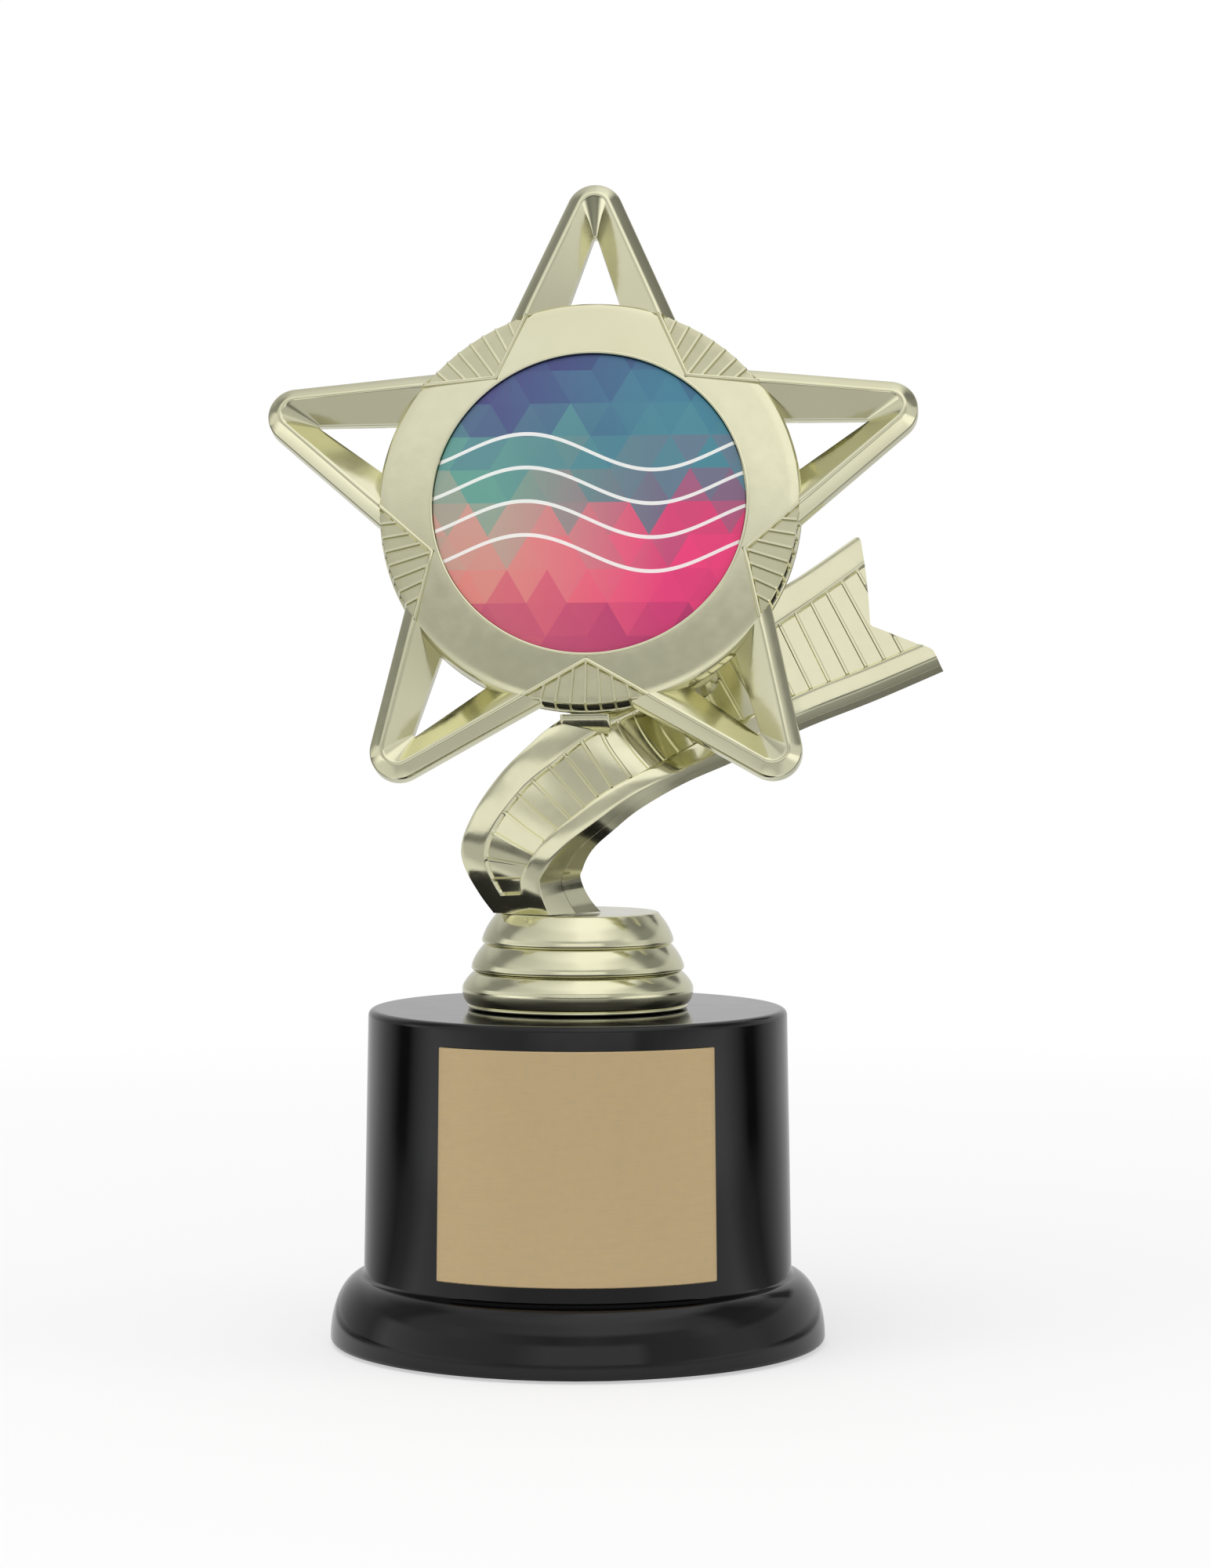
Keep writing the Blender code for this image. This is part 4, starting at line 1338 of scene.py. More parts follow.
@dataclass
class StarPlane:
    """Plane of the star, standing on its neck.

    Attributes:
        seat_point: point above the collar where the ring's lowest point stands.
        reach: distance from there to the centre.
        lean_deg: lean to the back.
        turn_deg: turn about the trophy's axis.
        roll_deg: roll in the plane.
        collar_top: level of the collar's top.
    """

    seat_point: Point = (1.5, -10.1, 33.0)
    reach: float = 34.7
    lean_deg: float = 17.0
    turn_deg: float = -4.9
    roll_deg: float = 0.5
    collar_top: float = field(default_factory=lambda: top_of("collar_cap"))

    def axes(self) -> Array:
        """Turn about Z, times lean about X, times roll about the plane's normal.

        Returns:
            Three by three matrix from the plane to the frame.
        """
        turn, lean, roll = (math.radians(a) for a in (self.turn_deg, 90 - self.lean_deg, self.roll_deg))
        about_z = [np.array([[math.cos(a), -math.sin(a), 0], [math.sin(a), math.cos(a), 0], [0, 0, 1]])
                   for a in (turn, roll)]
        cosine, sine = math.cos(lean), math.sin(lean)
        about_x = np.array([[1, 0, 0], [0, cosine, -sine], [0, sine, cosine]])
        return about_z[0] @ about_x @ about_z[1]

    def centre(self) -> Array:
        """Centre of the star in the frame: the seat point plus the reach up the plane."""
        return np.array(self.seat_point) + [0.0, 0.0, self.collar_top] + self.axes()[:, 1] * self.reach

    def place(self, grid: Grid) -> Grid:
        """Moves a surface from the plane into the frame."""
        points = grid.points @ self.axes().T + self.centre()
        return Grid(points, grid.rows_close, grid.columns_close, grid.shades)

    def angles(self) -> Point:
        """Euler angles of the plane, in the order that a Mapping node reads."""
        m = self.axes()
        return (math.atan2(m[2, 1], m[2, 2]), math.asin(-m[2, 0]), math.atan2(m[1, 0], m[0, 0]))


@dataclass
class Star:
    """Open star of ridged arms round a medallion ring of petals and ribbed fans, with its back cover.

    Attributes:
        plane: plane that the star lies in.
        arms: number of arms.
        sharp_radius: reach of an arm without its rounding.
        half_angle_deg: half of an arm's angle.
        opening_angle_deg: half of the angle of an arm's opening at its foot.
        tip_radius: rounding of an arm.
        rim: thickness below the outline.
        ridge_height: height of the arms' ridge.
        outer_flank: width of an arm's outer slope.
        land: width of the ridge.
        inner_flank: width of an arm's inner slope at its tip.
        ring_radius: radius of the ring.
        ring_height: height of the ring's lip and of the fans' ribs.
        lip: width of the lip round the insert.
        petal_edge: height of the petals at the rim.
        recess_radius: radius of the insert's seat.
        recess_floor: level of the insert's seat.
        rib_step_deg: angle between the ribs of a fan.
        rib_width: width of a rib at its top and at its foot.
        floor_level: level between the ribs.
        rim_draft: how far the fans' rim draws in from its foot to its front.
        pocket_radius: radius of the wall under a floor's lip, which takes the near-black painted shade.
        pocket_level: level of the band under it.
        back_thickness: thickness of the back cover.
        back_chamfer: width of its rear chamfer.
        seat_gap: gap between front and back.
        tip_steps: points round a tip.
        steps: facets round the ring.
    """

    plane: StarPlane
    arms: int = 5
    sharp_radius: float = 63.2
    half_angle_deg: float = 23.7
    opening_angle_deg: float = 18.3
    tip_radius: float = 4.75
    rim: float = 0.6
    ridge_height: float = 3.6
    outer_flank: float = 2.0
    land: float = 0.5
    inner_flank: float = 3.4
    ring_radius: float = 34.7
    ring_height: float = 3.45
    lip: float = 0.5
    petal_edge: float = 3.05
    recess_radius: float = 25.7
    recess_floor: float = 1.25
    rib_step_deg: float = 4.07
    rib_width: Pair = (0.36, 0.56)
    floor_level: float = 2.9
    rim_draft: float = 0.45
    pocket_radius: float = 34.2
    pocket_level: float = 0.1
    back_thickness: float = 1.8
    back_chamfer: float = 1.5
    seat_gap: float = 0.15
    tip_steps: int = 21
    steps: int = 288

    def side_lanes(self, inset: list[float], level: list[float]) -> Array:
        """Lanes that follow the outline at an inset.

        Args:
            inset: inset of each lane.
            level: level of each lane.

        Returns:
            Lanes of apex on the arm's axis, slope of the sides, rounding of the tip and level.
        """
        half = math.radians(self.half_angle_deg)
        inwards = np.array(inset)
        rounding = np.maximum(self.tip_radius - inwards, 0.25)
        return np.stack([self.sharp_radius - inwards / math.sin(half), np.full(len(inset), math.tan(half)),
                         rounding, level], axis=1)

    def wall_lanes(self, rise: list[float], level: list[float]) -> Array:
        """Lanes of an opening's wall: apex and width at the seat run straight from the foot to the ridge.

        Args:
            rise: share of the way from the foot to the ridge.
            level: level of each lane.

        Returns:
            Lanes of apex on the arm's axis, slope of the sides, rounding of the tip and level.
        """
        half, opening = math.radians(self.half_angle_deg), math.radians(self.opening_angle_deg)
        ridge_inset = self.outer_flank + self.land
        share = np.array(rise)
        ridge_apex = self.sharp_radius - ridge_inset / math.sin(half)
        foot_apex = ridge_apex - self.inner_flank / math.sin(half)
        apex = foot_apex + (ridge_apex - foot_apex) * share
        foot_width = (foot_apex - self.recess_radius) * math.tan(opening)
        ridge_width = (ridge_apex - self.recess_radius) * math.tan(half)
        slope = (foot_width + (ridge_width - foot_width) * share) / (apex - self.recess_radius)
        rounding = 0.35 + (self.tip_radius - ridge_inset - 0.35) * np.clip(share, 0.0, 1.0)
        return np.stack([apex, slope, rounding, level], axis=1)

    def arm(self, lanes: Array, axis: float) -> Grid:
        """Carries a closed section of lanes up one side of an arm, round its tip and down the other side.

        A side with its apex at a and slope t meets the ring of radius R at the distance
        (a t^2 + root of (1 + t^2) R^2 - a^2 t^2) / (1 + t^2) along the arm. Round the tip each lane is an
        arc about a point on the axis. Both ends close on the middle of the section.

        Args:
            lanes: apex, slope, rounding and level of each lane.
            axis: angle of the arm.

        Returns:
            The closed surface.
        """
        apex, slope, rounding, level = lanes.T
        lean = np.arctan(slope)
        reach = self.ring_radius - 0.4
        root = np.sqrt((1 + slope ** 2) * reach ** 2 - (apex * slope) ** 2)
        foot = (apex * slope ** 2 + root) / (1 + slope ** 2)
        sweep = np.linspace(-1.0, 1.0, self.tip_steps)[:, None] * (math.pi / 2 - lean)
        middle = apex - rounding / np.sin(lean)
        tip = np.stack([middle + rounding * np.cos(sweep), rounding * np.sin(sweep)], axis=2)
        end = np.stack([foot, (foot - apex) * slope], axis=1)
        side = end + (tip[0] - end) * np.linspace(0.0, 1.0, 9)[:-1, None, None]
        path = np.concatenate([side, tip, side[::-1] * [1.0, -1.0]])
        return with_poles(Grid(swung(path[..., 0], path[..., 1], level, axis), columns_close=True))

    def bars(self) -> Array:
        """Section of the front's arms: rim, softened edge, straight outer slope, ridge and opening's wall.

        Returns:
            Closed lanes.
        """
        top = self.ridge_height
        flank = self.outer_flank
        inset = [0.0, 0.0, 0.03, 0.1, 0.22, flank - 0.3, flank - 0.12, flank, 2.42]
        level = [-self.rim, 1.55, 1.8, 2.0, 2.15, top - 0.18, top - 0.05, top, top]
        return np.vstack([
            self.side_lanes(inset, level),
            self.wall_lanes([0.992, 0.95, 0.0, 0.0], [top - 0.04, top - 0.2, 0.0, -self.rim]),
        ])

    def seat_ring(self) -> Grid:
        """Seat of the insert, its lip and the ring's body under petals and fans, as one turned profile.

        Returns:
            The closed surface.
        """
        seat_radius, lip, soft, top = self.recess_radius, self.lip, 0.12, self.ring_height
        bottom = self.seat_gap - self.rim
        profile = np.array([
            (0.0, self.recess_floor), (seat_radius, self.recess_floor), (seat_radius, top - soft),
            (seat_radius + 0.3 * soft, top - 0.3 * soft), (seat_radius + soft, top),
            (seat_radius + lip - soft, top), (seat_radius + lip - 0.3 * soft, top - 0.3 * soft),
            (seat_radius + lip, top - soft), (seat_radius + lip + 0.1, 0.8), (self.ring_radius - 0.1, 0.2),
            (self.ring_radius, 0.1), (self.ring_radius, bottom), (0.0, bottom),
        ])
        return turned(profile, self.steps, closes=False)

    def axes(self) -> Array:
        """Angles of the arms' axes, from the upright one."""
        return math.pi / 2 + 2 * math.pi / self.arms * np.arange(self.arms)

    def corner_line(self, inset: Array | float) -> tuple[Array, float]:
        """Ridge line near an inner corner: its apex on the corner's axis, and its run for each step across.

        Args:
            inset: inset of the line from the outline.

        Returns:
            Apex and run.
        """
        half = math.radians(self.half_angle_deg)
        slant = half + math.pi / self.arms
        return (self.sharp_radius * math.sin(half) - np.asarray(inset)) / math.sin(slant), 1 / math.tan(slant)

    @staticmethod
    def crossing(apex: Array, run: float, radius: float) -> Array:
        """Distance from a corner's axis where a ridge line meets a circle."""
        return (np.sqrt((1 + run ** 2) * radius ** 2 - apex ** 2) - apex * run) / (1 + run ** 2)

    def ridge_line(self, corner: float) -> Grid:
        """Thin raised line that carries the arms' ridges over the ring and meets at the corner by the lip.

        Args:
            corner: angle of the corner's axis.

        Returns:
            The closed surface.
        """
        top = self.ridge_height
        lanes = np.array([(1.65, 2.4), (1.93, top - 0.12), (2.0, top - 0.03), (2.08, top), (2.36, top),
                          (2.44, top - 0.03), (2.51, top - 0.12), (2.8, 2.4)])
        apex, run = self.corner_line(lanes[:, 0])
        end = self.crossing(apex, run, self.ring_radius - 0.2)
        across = np.linspace(-1.0, 1.0, 9)[:, None] * end
        points = swung(apex + np.abs(across) * run, across, lanes[:, 1], corner)
        return with_poles(Grid(points, columns_close=True))

    def petal(self, axis: float) -> Grid:
        """Plain petal on an arm: a sector of the ring that the ridge lines bound.

        Seen from the centre, a ridge line at a distance d lies at the complement of the half angle less the
        arc cosine of d / r, counted from the arm's axis.

        Args:
            axis: angle of the arm.

        Returns:
            The closed surface.
        """
        half = math.radians(self.half_angle_deg)
        inner, outer, edge = self.recess_radius + self.lip - 0.15, self.ring_radius, self.petal_edge
        profile = np.vstack([
            [(inner, -0.2), (inner, self.ring_height - 0.1)],
            np.linspace((inner + 0.3, self.ring_height - 0.1), (outer - 0.55, edge), 6),
            [(outer - 0.42, edge - 0.04), (outer - 0.14, edge - 0.32), (outer - 0.04, edge - 0.5)],
            [(outer + 0.02, edge - 0.9), (outer + 0.02, -0.2)],
        ])
        line = self.sharp_radius * math.sin(half) - self.outer_flank - self.land / 2
        bound = math.pi / 2 - half - np.arccos(line / profile[:, 0])
        angle = axis + np.minimum(bound, math.pi / self.arms) * np.linspace(-1.0, 1.0, 33)[:, None]
        points = np.stack(np.broadcast_arrays(profile[:, 0] * np.cos(angle), profile[:, 0] * np.sin(angle),
                                              profile[:, 1]), axis=2)
        return with_poles(Grid(points, columns_close=True))

    def fan(self, corner: float) -> Grid:
        """Ribbed fan between two arms: lanes run from the ridge lines to the rim, radial but for an offset.

        A lane at the angle a from the corner's axis, offset by o, starts on the ridge line at the radius
        (apex + o (sin a + run cos a)) / (cos a - run sin a), with the run's sign by its side. Lanes on ribs
        keep their height to a rounded end on the rim. Under the floors' lip the rim is cut back between them.
        The floors between ribs take a darker plating as painted shade, and the faces under their lip a
        near-black painted shade.

        Args:
            corner: angle of the corner's axis.

        Returns:
            The closed surface.
        """
        apex, run = self.corner_line(self.outer_flank + 0.1)
        rim, step = self.ring_radius + 0.02, math.radians(self.rib_step_deg)
        end = math.asin(float(self.crossing(apex, run, rim)) / rim)
        ribs = step * np.arange(-12, 13)
        ribs = ribs[apex / (np.cos(ribs) - run * np.sin(np.abs(ribs))) < self.pocket_radius - 0.6]
        ribs = ribs[np.abs(ribs) < end]
        top, foot = (width / 2 for width in self.rib_width)
        angle = np.concatenate([[-end], np.repeat(ribs, 4), [end]])
        offset = np.concatenate([[0.0], np.tile([-foot, -top, top, foot], len(ribs)), [0.0]])
        on_rib = np.concatenate([[False], np.tile([False, True, True, False], len(ribs)), [False]])
        side = np.where(np.abs(angle) > 0.01, np.sign(angle), np.sign(offset)) * run
        cosine, sine = np.cos(angle), np.sin(angle)
        start = (apex + offset * (sine + side * cosine)) / (cosine - side * sine)
        pocket, low, base = self.pocket_level, self.pocket_level - 0.2, -0.3
        floor, top_level = self.floor_level, self.ring_height
        edge, back = rim - self.rim_draft, self.pocket_radius - self.rim_draft
        inner = start + (edge - 0.2 - start) * np.linspace(0.0, 1.0, 6)[:, None]
        inner = np.maximum(inner, np.minimum(start, edge))
        rib_rim = np.array([edge - 0.08, edge, edge + 0.05, edge + 0.12, rim - 0.05, rim, rim])
        groove_rim = np.array([edge - 0.06, edge, edge + 0.03, back, self.pocket_radius, rim, rim])
        circles = np.where(on_rib, rib_rim[:, None], groove_rim[:, None])
        circles = np.maximum(circles, np.minimum(start, edge))
        radius = np.vstack([start, start, start, inner, circles])
        radius[:, [0, -1]] = rim
        nose = [top_level - drop for drop in (0.0, 0.12, 0.5, 1.0, 1.4)]
        rib = np.array([base, low, pocket] + [top_level] * 5 + nose + [pocket, low, base])
        lip = [floor, floor - 0.02, floor - 0.1, floor - 0.35, floor - 0.4]
        groove = np.array([base, low, pocket] + [floor] * 5 + lip + [pocket, low, base])
        level = np.where(on_rib, rib[:, None], groove[:, None])
        # Painted shade: the floors between ribs take the darker plating, and the faces under the lip the
        # near-black one.
        shades = np.full((len(radius), len(angle) - 1), float(Shade.GOLD))
        between = ~(on_rib[1:] | on_rib[:-1])
        floor_shade_rows, pocket_shade_rows = slice(0, 9), slice(11, 14)
        shades[floor_shade_rows, between] = Shade.DULL
        shades[pocket_shade_rows, between] = Shade.POCKET
        points = swung(radius * np.cos(angle) - offset * np.sin(angle),
                       radius * np.sin(angle) + offset * np.cos(angle), level, corner)
        return Grid(points, rows_close=True, shades=shades)

    def front(self, gold: Material, pocket: Material, floor_shade_plating: Material) -> None:
        """Front moulding: arms, ring, petals, ridge lines and fans.

        Args:
            gold: finish of the moulding.
            pocket: near-black painted shade for the pockets at the fans' rim.
            floor_shade_plating: darker, rougher plating of the floors between ribs; its darker tint is
                painted shade.
        """
        grids = [self.seat_ring()]
        for axis in self.axes():
            corner = axis + math.pi / self.arms
            grids += [self.arm(self.bars(), axis), self.petal(axis)]
            grids += [self.ridge_line(corner), self.fan(corner)]
        placed = [self.plane.place(grid) for grid in grids]
        seat(make_piece("star_ridged_front", placed, [gold, pocket, floor_shade_plating], 24.0),
             Body.FIGURE, "star_front")

    def back(self, gold: Material) -> None:
        """Back cover: flat arms with a softened chamfer, and a disc with a shallow rim.

        Args:
            gold: finish of the cover.
        """
        near = -self.rim - self.seat_gap
        far = near - self.back_thickness
        chamfer = self.back_chamfer
        drop = [far + chamfer * share for share in (1.0, 0.7, 0.28, 0.07, 0.0)]
        lanes = np.vstack([
            self.side_lanes([0.2, 0.3, 0.45, 0.75, 1.2, chamfer + 0.3], [near, *drop]),
            self.wall_lanes([0.12, 0.03, 0.0, 0.0], [far, far + 0.12, far + 0.4, near]),
        ])
        rim_width, rim_drop, lift = 2.4, 0.35, 0.02
        radius = self.ring_radius
        profile = np.vstack([
            [(0.0, near - lift), (radius, near - lift)],
            np.stack([radius - np.array([0.0, 0.12, 0.45, 0.9, chamfer]), np.array(drop) + lift], axis=1),
            [(radius - chamfer - rim_width, far + lift)],
            [(radius - chamfer - rim_width - 0.3, far + rim_drop)],
            [(0.0, far + rim_drop)],
        ])
        grids = [turned(profile, self.steps, closes=False), *(self.arm(lanes, axis) for axis in self.axes())]
        seat(make_piece("star_flat_back", [self.plane.place(grid) for grid in grids], [gold], 24.0),
             Body.FIGURE, "star_back")


@dataclass
class Neck:
    """Web between the ring's lowest point and the ribbon, undercut at its front.

    Attributes:
        plane: plane of the star.
        left: left end of the web in the plane.
        right: right end of the web.
        section: height below the ring and depth behind the star's face of each corner of its section.
        soft: rounding of the ends.
    """

    plane: StarPlane
    left: float = -4.4
    right: float = 3.6
    section: tuple[Pair, ...] = (
        (0.1, -0.9), (0.5, -1.0), (1.0, -1.5), (1.7, -2.4), (2.3, -3.2), (2.6, -4.0), (0.1, -4.4),
    )
    soft: float = 0.5

    def web(self, gold: Material) -> None:
        """Section carried across the plane: its corners draw in at both ends by a quarter circle.

        Args:
            gold: finish of the web.
        """
        angle = np.radians(np.linspace(0.0, 90.0, 5))
        run = self.soft * (1 - np.cos(angle))
        inner = np.linspace(self.left, self.right, 8)[1:-1]
        x = np.concatenate([self.left + run, inner, (self.right - run)[::-1]])
        shrink = np.concatenate([np.sin(angle), np.ones(len(inner)), np.sin(angle)[::-1]])[:, None]
        drop, depth = np.array(self.section).T
        middle = depth.mean()
        level = middle + (depth - middle) * (0.7 + 0.3 * shrink)
        points = np.stack(np.broadcast_arrays(x[:, None], -self.plane.reach - drop, level), axis=2)
        grid = with_poles(Grid(points, columns_close=True))
        seat(make_piece("neck_undercut_web", [self.plane.place(grid)], [gold]),
             Body.FIGURE, "neck_block")


@dataclass
class Insert:
    """Printed disc in the ring.

    Attributes:
        plane: plane that the disc lies in.
        radius: radius of the disc.
        bottom: level of its underside.
        thickness: thickness of the disc.
        edge: softened edge.
        steps: facets round the disc.
    """

    plane: StarPlane
    radius: float = 25.6
    bottom: float = 1.85
    thickness: float = 1.1
    edge: float = 0.12
    steps: int = 192

    def disc(self, finish: Material) -> None:
        """Disc with softened edges as a turned profile.

        Args:
            finish: finish of the print.
        """
        top = self.bottom + self.thickness
        profile = np.array([
            (0.0, top), (0.5 * self.radius, top), (self.radius - self.edge, top),
            (self.radius - 0.3 * self.edge, top - 0.3 * self.edge), (self.radius, top - self.edge),
            (self.radius, self.bottom), (0.0, self.bottom),
        ])
        grid = self.plane.place(turned(profile, self.steps, closes=False))
        seat(make_piece("insert_printed_disc", [grid], [finish]), Body.FIGURE, "insert_disc")


# Studio


def both_sides(band: tuple[Pair, ...]) -> tuple[Pair, ...]:
    """Mirrors angles and levels about the front."""
    return (*((-angle, level) for angle, level in reversed(band)), *band)


@dataclass
class Studio:
    """Pale floor, soft light and the camera of a 1545 by 2000 picture.

    Attributes:
        camera_place: place of the camera in millimetres.
        camera_pitch: look downwards in radians.
        lens: focal length for the sensor.
        sensor_height: height of the sensor in millimetres.
        floor_reach: half of the floor's width in metres.
        floor_drop: gap between the floor and the felt.
        floor_level: grey of the floor.
        plain_level: level of the soft light all round.
        white_share: share of white that the camera sees on the floor at the object.
        white_reach: distances in metres between which that share grows to the whole.
        card_reach: distances between which gloss begins to show the floor's cards.
        far_reach: distances between which the near cards give way to the far ones.
        low_band: brightness against azimuth in degrees, from the front to the right, near the horizon.
        middle_band: the same a little higher.
        high_band: the same half way up.
        top_band: the same overhead.
        band_edges: elevations in degrees between which each band gives way to the next.
        near_cards: brightness of the cards on the floor against azimuth to either side, as gloss shows them.
        far_cards: the same further out.
        lamp_list: name, place in metres, size in metres and power in watts of each lamp.
        lamp_aim: point in metres that the lamps face.
    """

    camera_place: Point = (4.55, -680.0, 117.4)
    camera_pitch: float = 0.0377
    lens: float = 95.18
    sensor_height: float = 36.0
    floor_reach: float = 6.0
    floor_drop: float = 0.05
    floor_level: float = 0.86
    plain_level: float = 0.7
    white_share: float = 0.55
    white_reach: Pair = (0.08, 0.5)
    card_reach: Pair = (0.07, 0.1)
    far_reach: Pair = (0.3, 0.5)
    low_band: tuple[Pair, ...] = (
        (-180, 0.7), (-150, 0.55), (-128, 0.4), (-112, 0.35), (-100, 0.9), (-60, 0.72), (-30, 0.66),
        (-15, 1.0), (28, 1.0), (34, 0.54), (55, 0.58), (70, 0.76), (88, 0.7), (100, 0.5), (135, 0.66),
        (180, 0.72),
    )
    middle_band: tuple[Pair, ...] = (
        (-180, 0.75), (-150, 0.63), (-130, 0.5), (-116, 0.3), (-100, 0.3), (-90, 0.65), (-60, 0.8),
        (-25, 0.54), (-12, 0.45), (8, 0.58), (20, 0.48), (55, 0.6), (68, 0.9), (80, 0.7), (90, 0.28),
        (115, 0.28), (128, 0.53), (137, 0.5), (140, 0.14), (150, 0.14), (158, 0.62), (180, 0.75),
    )
    high_band: tuple[Pair, ...] = (
        (-180, 0.7), (-140, 0.5), (-122, 0.28), (-100, 0.28), (-88, 0.62), (-60, 0.7), (-30, 0.86),
        (-12, 0.95), (5, 1.15), (30, 1.15), (48, 0.95), (65, 0.8), (78, 0.7), (90, 0.28), (114, 0.2),
        (130, 0.42), (150, 0.8), (180, 0.75),
    )
    top_band: tuple[Pair, ...] = (
        (-180, 0.8), (-90, 0.75), (-60, 0.85), (-30, 1.0), (0, 1.2), (60, 1.2), (110, 1.1), (180, 0.9),
    )
    band_edges: tuple[Pair, ...] = ((19.0, 23.0), (32.0, 36.5), (50.0, 60.0))
    near_cards: tuple[Pair, ...] = (
        (31, 0.55), (47, 0.75), (84, 0.8), (95, 0.33), (107, 0.15), (121, 0.35), (139, 0.55), (180, 0.8),
    )
    far_cards: tuple[Pair, ...] = (
        (31, 0.2), (39, 0.5), (47, 1.0), (56, 1.25), (75, 1.25), (84, 1.05), (95, 0.47), (103, 0.03),
        (110, 0.03), (121, 0.35), (139, 0.64), (180, 0.8),
    )
    lamp_list: tuple[tuple[str, Point, float, float], ...] = (
        ("overhead", (-0.25, -0.35, 0.9), 0.8, 4.5), ("side", (0.9, -0.2, 0.5), 0.5, 1.2),
    )
    lamp_aim: Point = (0.0, 0.0, 0.08)

    def camera(self) -> None:
        """Camera level with the ribbon, looking a little down."""
        data = bpy.data.cameras.new("camera")
        data.sensor_fit = "VERTICAL"
        data.sensor_height = self.sensor_height
        data.lens = self.lens
        data.clip_start = 0.01
        camera = bpy.data.objects.new("camera", data)
        camera.location = [value * MM for value in self.camera_place]
        camera.rotation_euler = (math.pi / 2 - self.camera_pitch, 0.0, 0.0)
        bpy.context.scene.collection.objects.link(camera)
        bpy.context.scene.camera = camera

    def floor(self) -> None:
        """Pale floor that keeps the shadow and fades to white for the camera, with cards that gloss shows."""
        run = np.linspace(-self.floor_reach, self.floor_reach, 9) / MM
        y, x = np.meshgrid(run, run, indexing="ij")
        nodes = MaterialNodes("pale_floor")
        nodes.set(roughness=0.85, base_color=grey(self.floor_level))
        turn = nodes.turn(nodes.split(nodes.place))
        length = nodes.add("ShaderNodeVectorMath", operation="LENGTH")
        nodes.link(nodes.place, length.inputs[0])
        distance = length.outputs["Value"]
        near, far = (nodes.band(turn, both_sides(cards)) for cards in (self.near_cards, self.far_cards))
        cards = nodes.mix(nodes.spread(distance, 0.0, 1.0, *self.far_reach), near, far)
        camera, mirrored = nodes.rays()
        pale = nodes.spread(distance, self.white_share, 1.0, *self.white_reach)
        white = nodes.math("MULTIPLY", camera, pale)
        shown = nodes.math("MULTIPLY", mirrored, nodes.spread(distance, 0.0, 1.0, *self.card_reach))
        glow = nodes.add("ShaderNodeEmission")
        nodes.link(nodes.mix(camera, cards, grey(1.0)), glow.inputs["Color"])
        blend = nodes.add("ShaderNodeMixShader")
        parts = (nodes.math("MAXIMUM", white, shown), nodes.shader.outputs[0], glow.outputs[0])
        for source, target in zip(parts, blend.inputs):
            nodes.link(source, target)
        nodes.link(blend.outputs[0], nodes.tree.nodes["Material Output"].inputs["Surface"])
        sheet = Grid(np.stack([x, y, np.full_like(x, -self.floor_drop)], axis=2))
        make_piece("floor", [sheet], [nodes.material])

    def world(self) -> None:
        """White to the camera, softboxes and dark gaps by azimuth and elevation to gloss, and soft light."""
        world = bpy.data.worlds.new("studio")
        bpy.context.scene.world = world
        world.use_nodes = True
        nodes = Nodes(world.node_tree)
        split = nodes.split(nodes.add("ShaderNodeTexCoord").outputs["Generated"])
        turn = nodes.turn(split)
        rise = nodes.math("DEGREES", nodes.math("ARCSINE", split.outputs["Z"]))
        bands = (self.low_band, self.middle_band, self.high_band, self.top_band)
        room, *upper = (nodes.band(turn, band) for band in bands)
        for band, edges in zip(upper, self.band_edges):
            room = nodes.mix(nodes.spread(rise, 0.0, 1.0, *edges), room, band)
        camera, mirrored = nodes.rays()
        shown = nodes.mix(camera, nodes.mix(mirrored, grey(self.plain_level), room), grey(1.0))
        nodes.link(shown, world.node_tree.nodes["Background"].inputs["Color"])

    def lamps(self) -> None:
        """Soft lamps over the front and at the right, which add light but no hard shapes to the gloss."""
        for name, place, size, power in self.lamp_list:
            data = bpy.data.lights.new(name, "AREA")
            data.size = size
            data.energy = power
            lamp = bpy.data.objects.new(name, data)
            lamp.location = place
            x, y, z = np.subtract(self.lamp_aim, place)
            lamp.rotation_euler = (math.atan2(math.hypot(x, y), -z), 0.0, math.atan2(-x, y))
            lamp.visible_glossy = False
            bpy.context.scene.collection.objects.link(lamp)

    def build(self) -> None:
        """Sets up the studio and the view transform."""
        bpy.context.scene.view_settings.view_transform = "Standard"
        self.camera()
        self.floor()
        self.world()
        self.lamps()


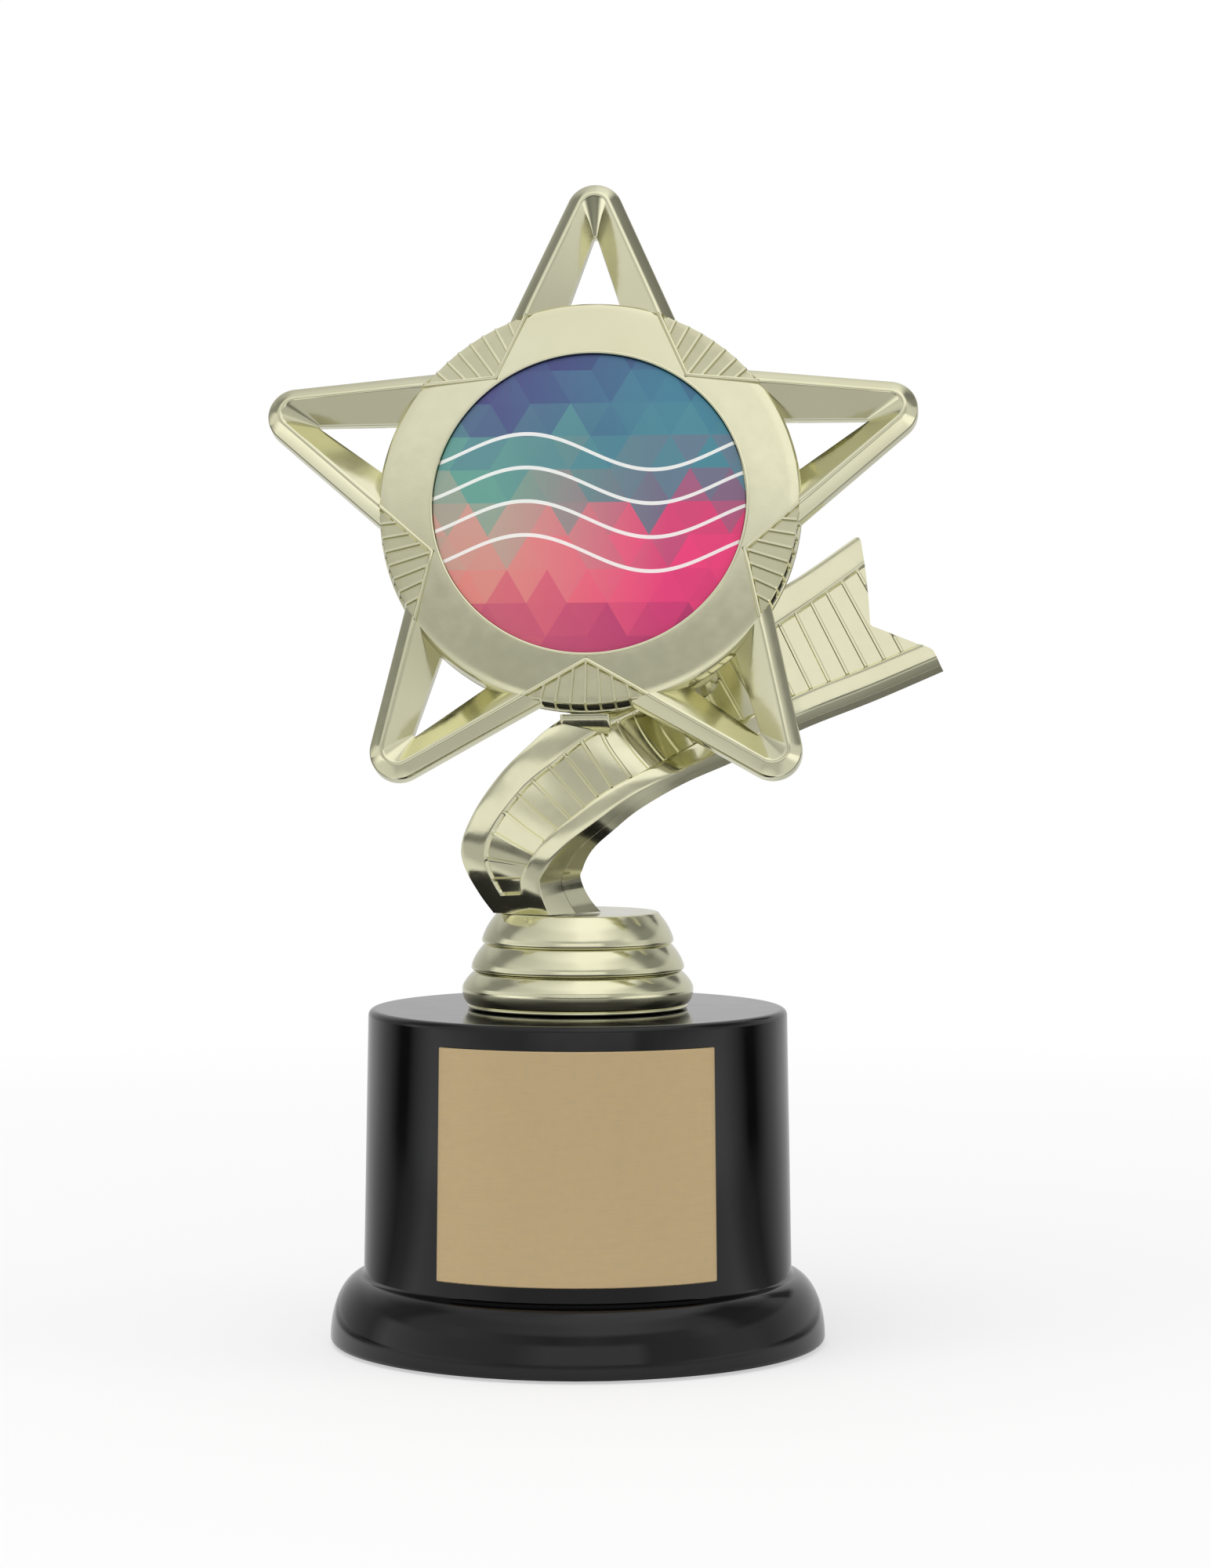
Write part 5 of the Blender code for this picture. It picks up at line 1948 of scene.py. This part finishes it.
def dress_nodes(finishes: dict[str, Material]) -> None:
    """Gives carried CAD nodes their finishes.

    Args:
        finishes: finish of each node.
    """
    for name, finish in finishes.items():
        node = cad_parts[name]
        node.data.materials.clear()
        node.data.materials.append(finish)
        LOG.info("%s: dressed", name)


def main() -> None:
    """Builds the studio, then each sub-assembly in order, and logs each new piece's face count."""
    logging.basicConfig(level=logging.INFO, format="%(name)s %(message)s")
    Studio().build()

    gold = MetalPlating().make("champagne_plating")
    # Darker, rougher plating for the fan floors between ribs: the darker tint is painted shade, the roughness
    # a duller finish.
    floor_shade_plating = MetalPlating((0.66, 0.645, 0.45), (0.58, 0.565, 0.37), (0.2, 0.3)).make("dull_plating")
    # Near-black painted shade for the pockets at the fans' rim.
    pocket = PocketPaintedShade().make("unplated_pocket")
    black = GlossBlack().make("gloss_black_plastic")
    brass = SatinBrass().make("satin_brass_sheet")
    steel = ZincSteel().make("zinc_steel")

    base = Base()
    base.shell(black)
    base.plate(brass)
    collar = Collar()
    collar.skirt(gold)
    collar.cap(gold)
    ribbon = Ribbon()
    ribbon.front(gold)
    ribbon.back(gold)
    plane = StarPlane()
    star = Star(plane)
    star.front(gold, pocket, floor_shade_plating)
    star.back(gold)
    Neck(plane).web(gold)
    insert = Insert(plane)
    print_finish = FacetPrint(tuple(plane.centre() * MM), plane.angles(), insert.radius * MM)
    insert.disc(print_finish.make("facet_print"))

    felt = Speckled((0.03, 0.03, 0.032), (0.008, 0.008, 0.009), 2600.0, relief=0.0005, sheen=0.4)
    board = Speckled((0.16, 0.12, 0.075), (0.09, 0.065, 0.04), 700.0, stretch=(6.0, 1.0, 1.0))
    plaster = Speckled((0.68, 0.66, 0.61), (0.55, 0.53, 0.48), 500.0, relief=0.0003)
    tape = Speckled((0.75, 0.74, 0.7), (0.62, 0.61, 0.57), 1800.0, roughness=0.55, relief=0.00003)
    thread_pitch = 0.00127
    dress_nodes({
        "felt_pad": felt.make("felt"),
        "bottom_cover": board.make("fibre_board"),
        "base_weight": plaster.make("cast_plaster"),
        "plate_tape": tape.make("plate_tape"),
        "insert_tape": tape.make("insert_tape"),
        "tie_rod": ZincSteel(thread_pitch).make("threaded_steel"),
        "rod_nut": steel,
        "captive_nut": steel,
        "flat_washer": steel,
        "lock_washer": steel,
        "rear_boss": gold,
    })


if __name__ == "__main__":
    main()
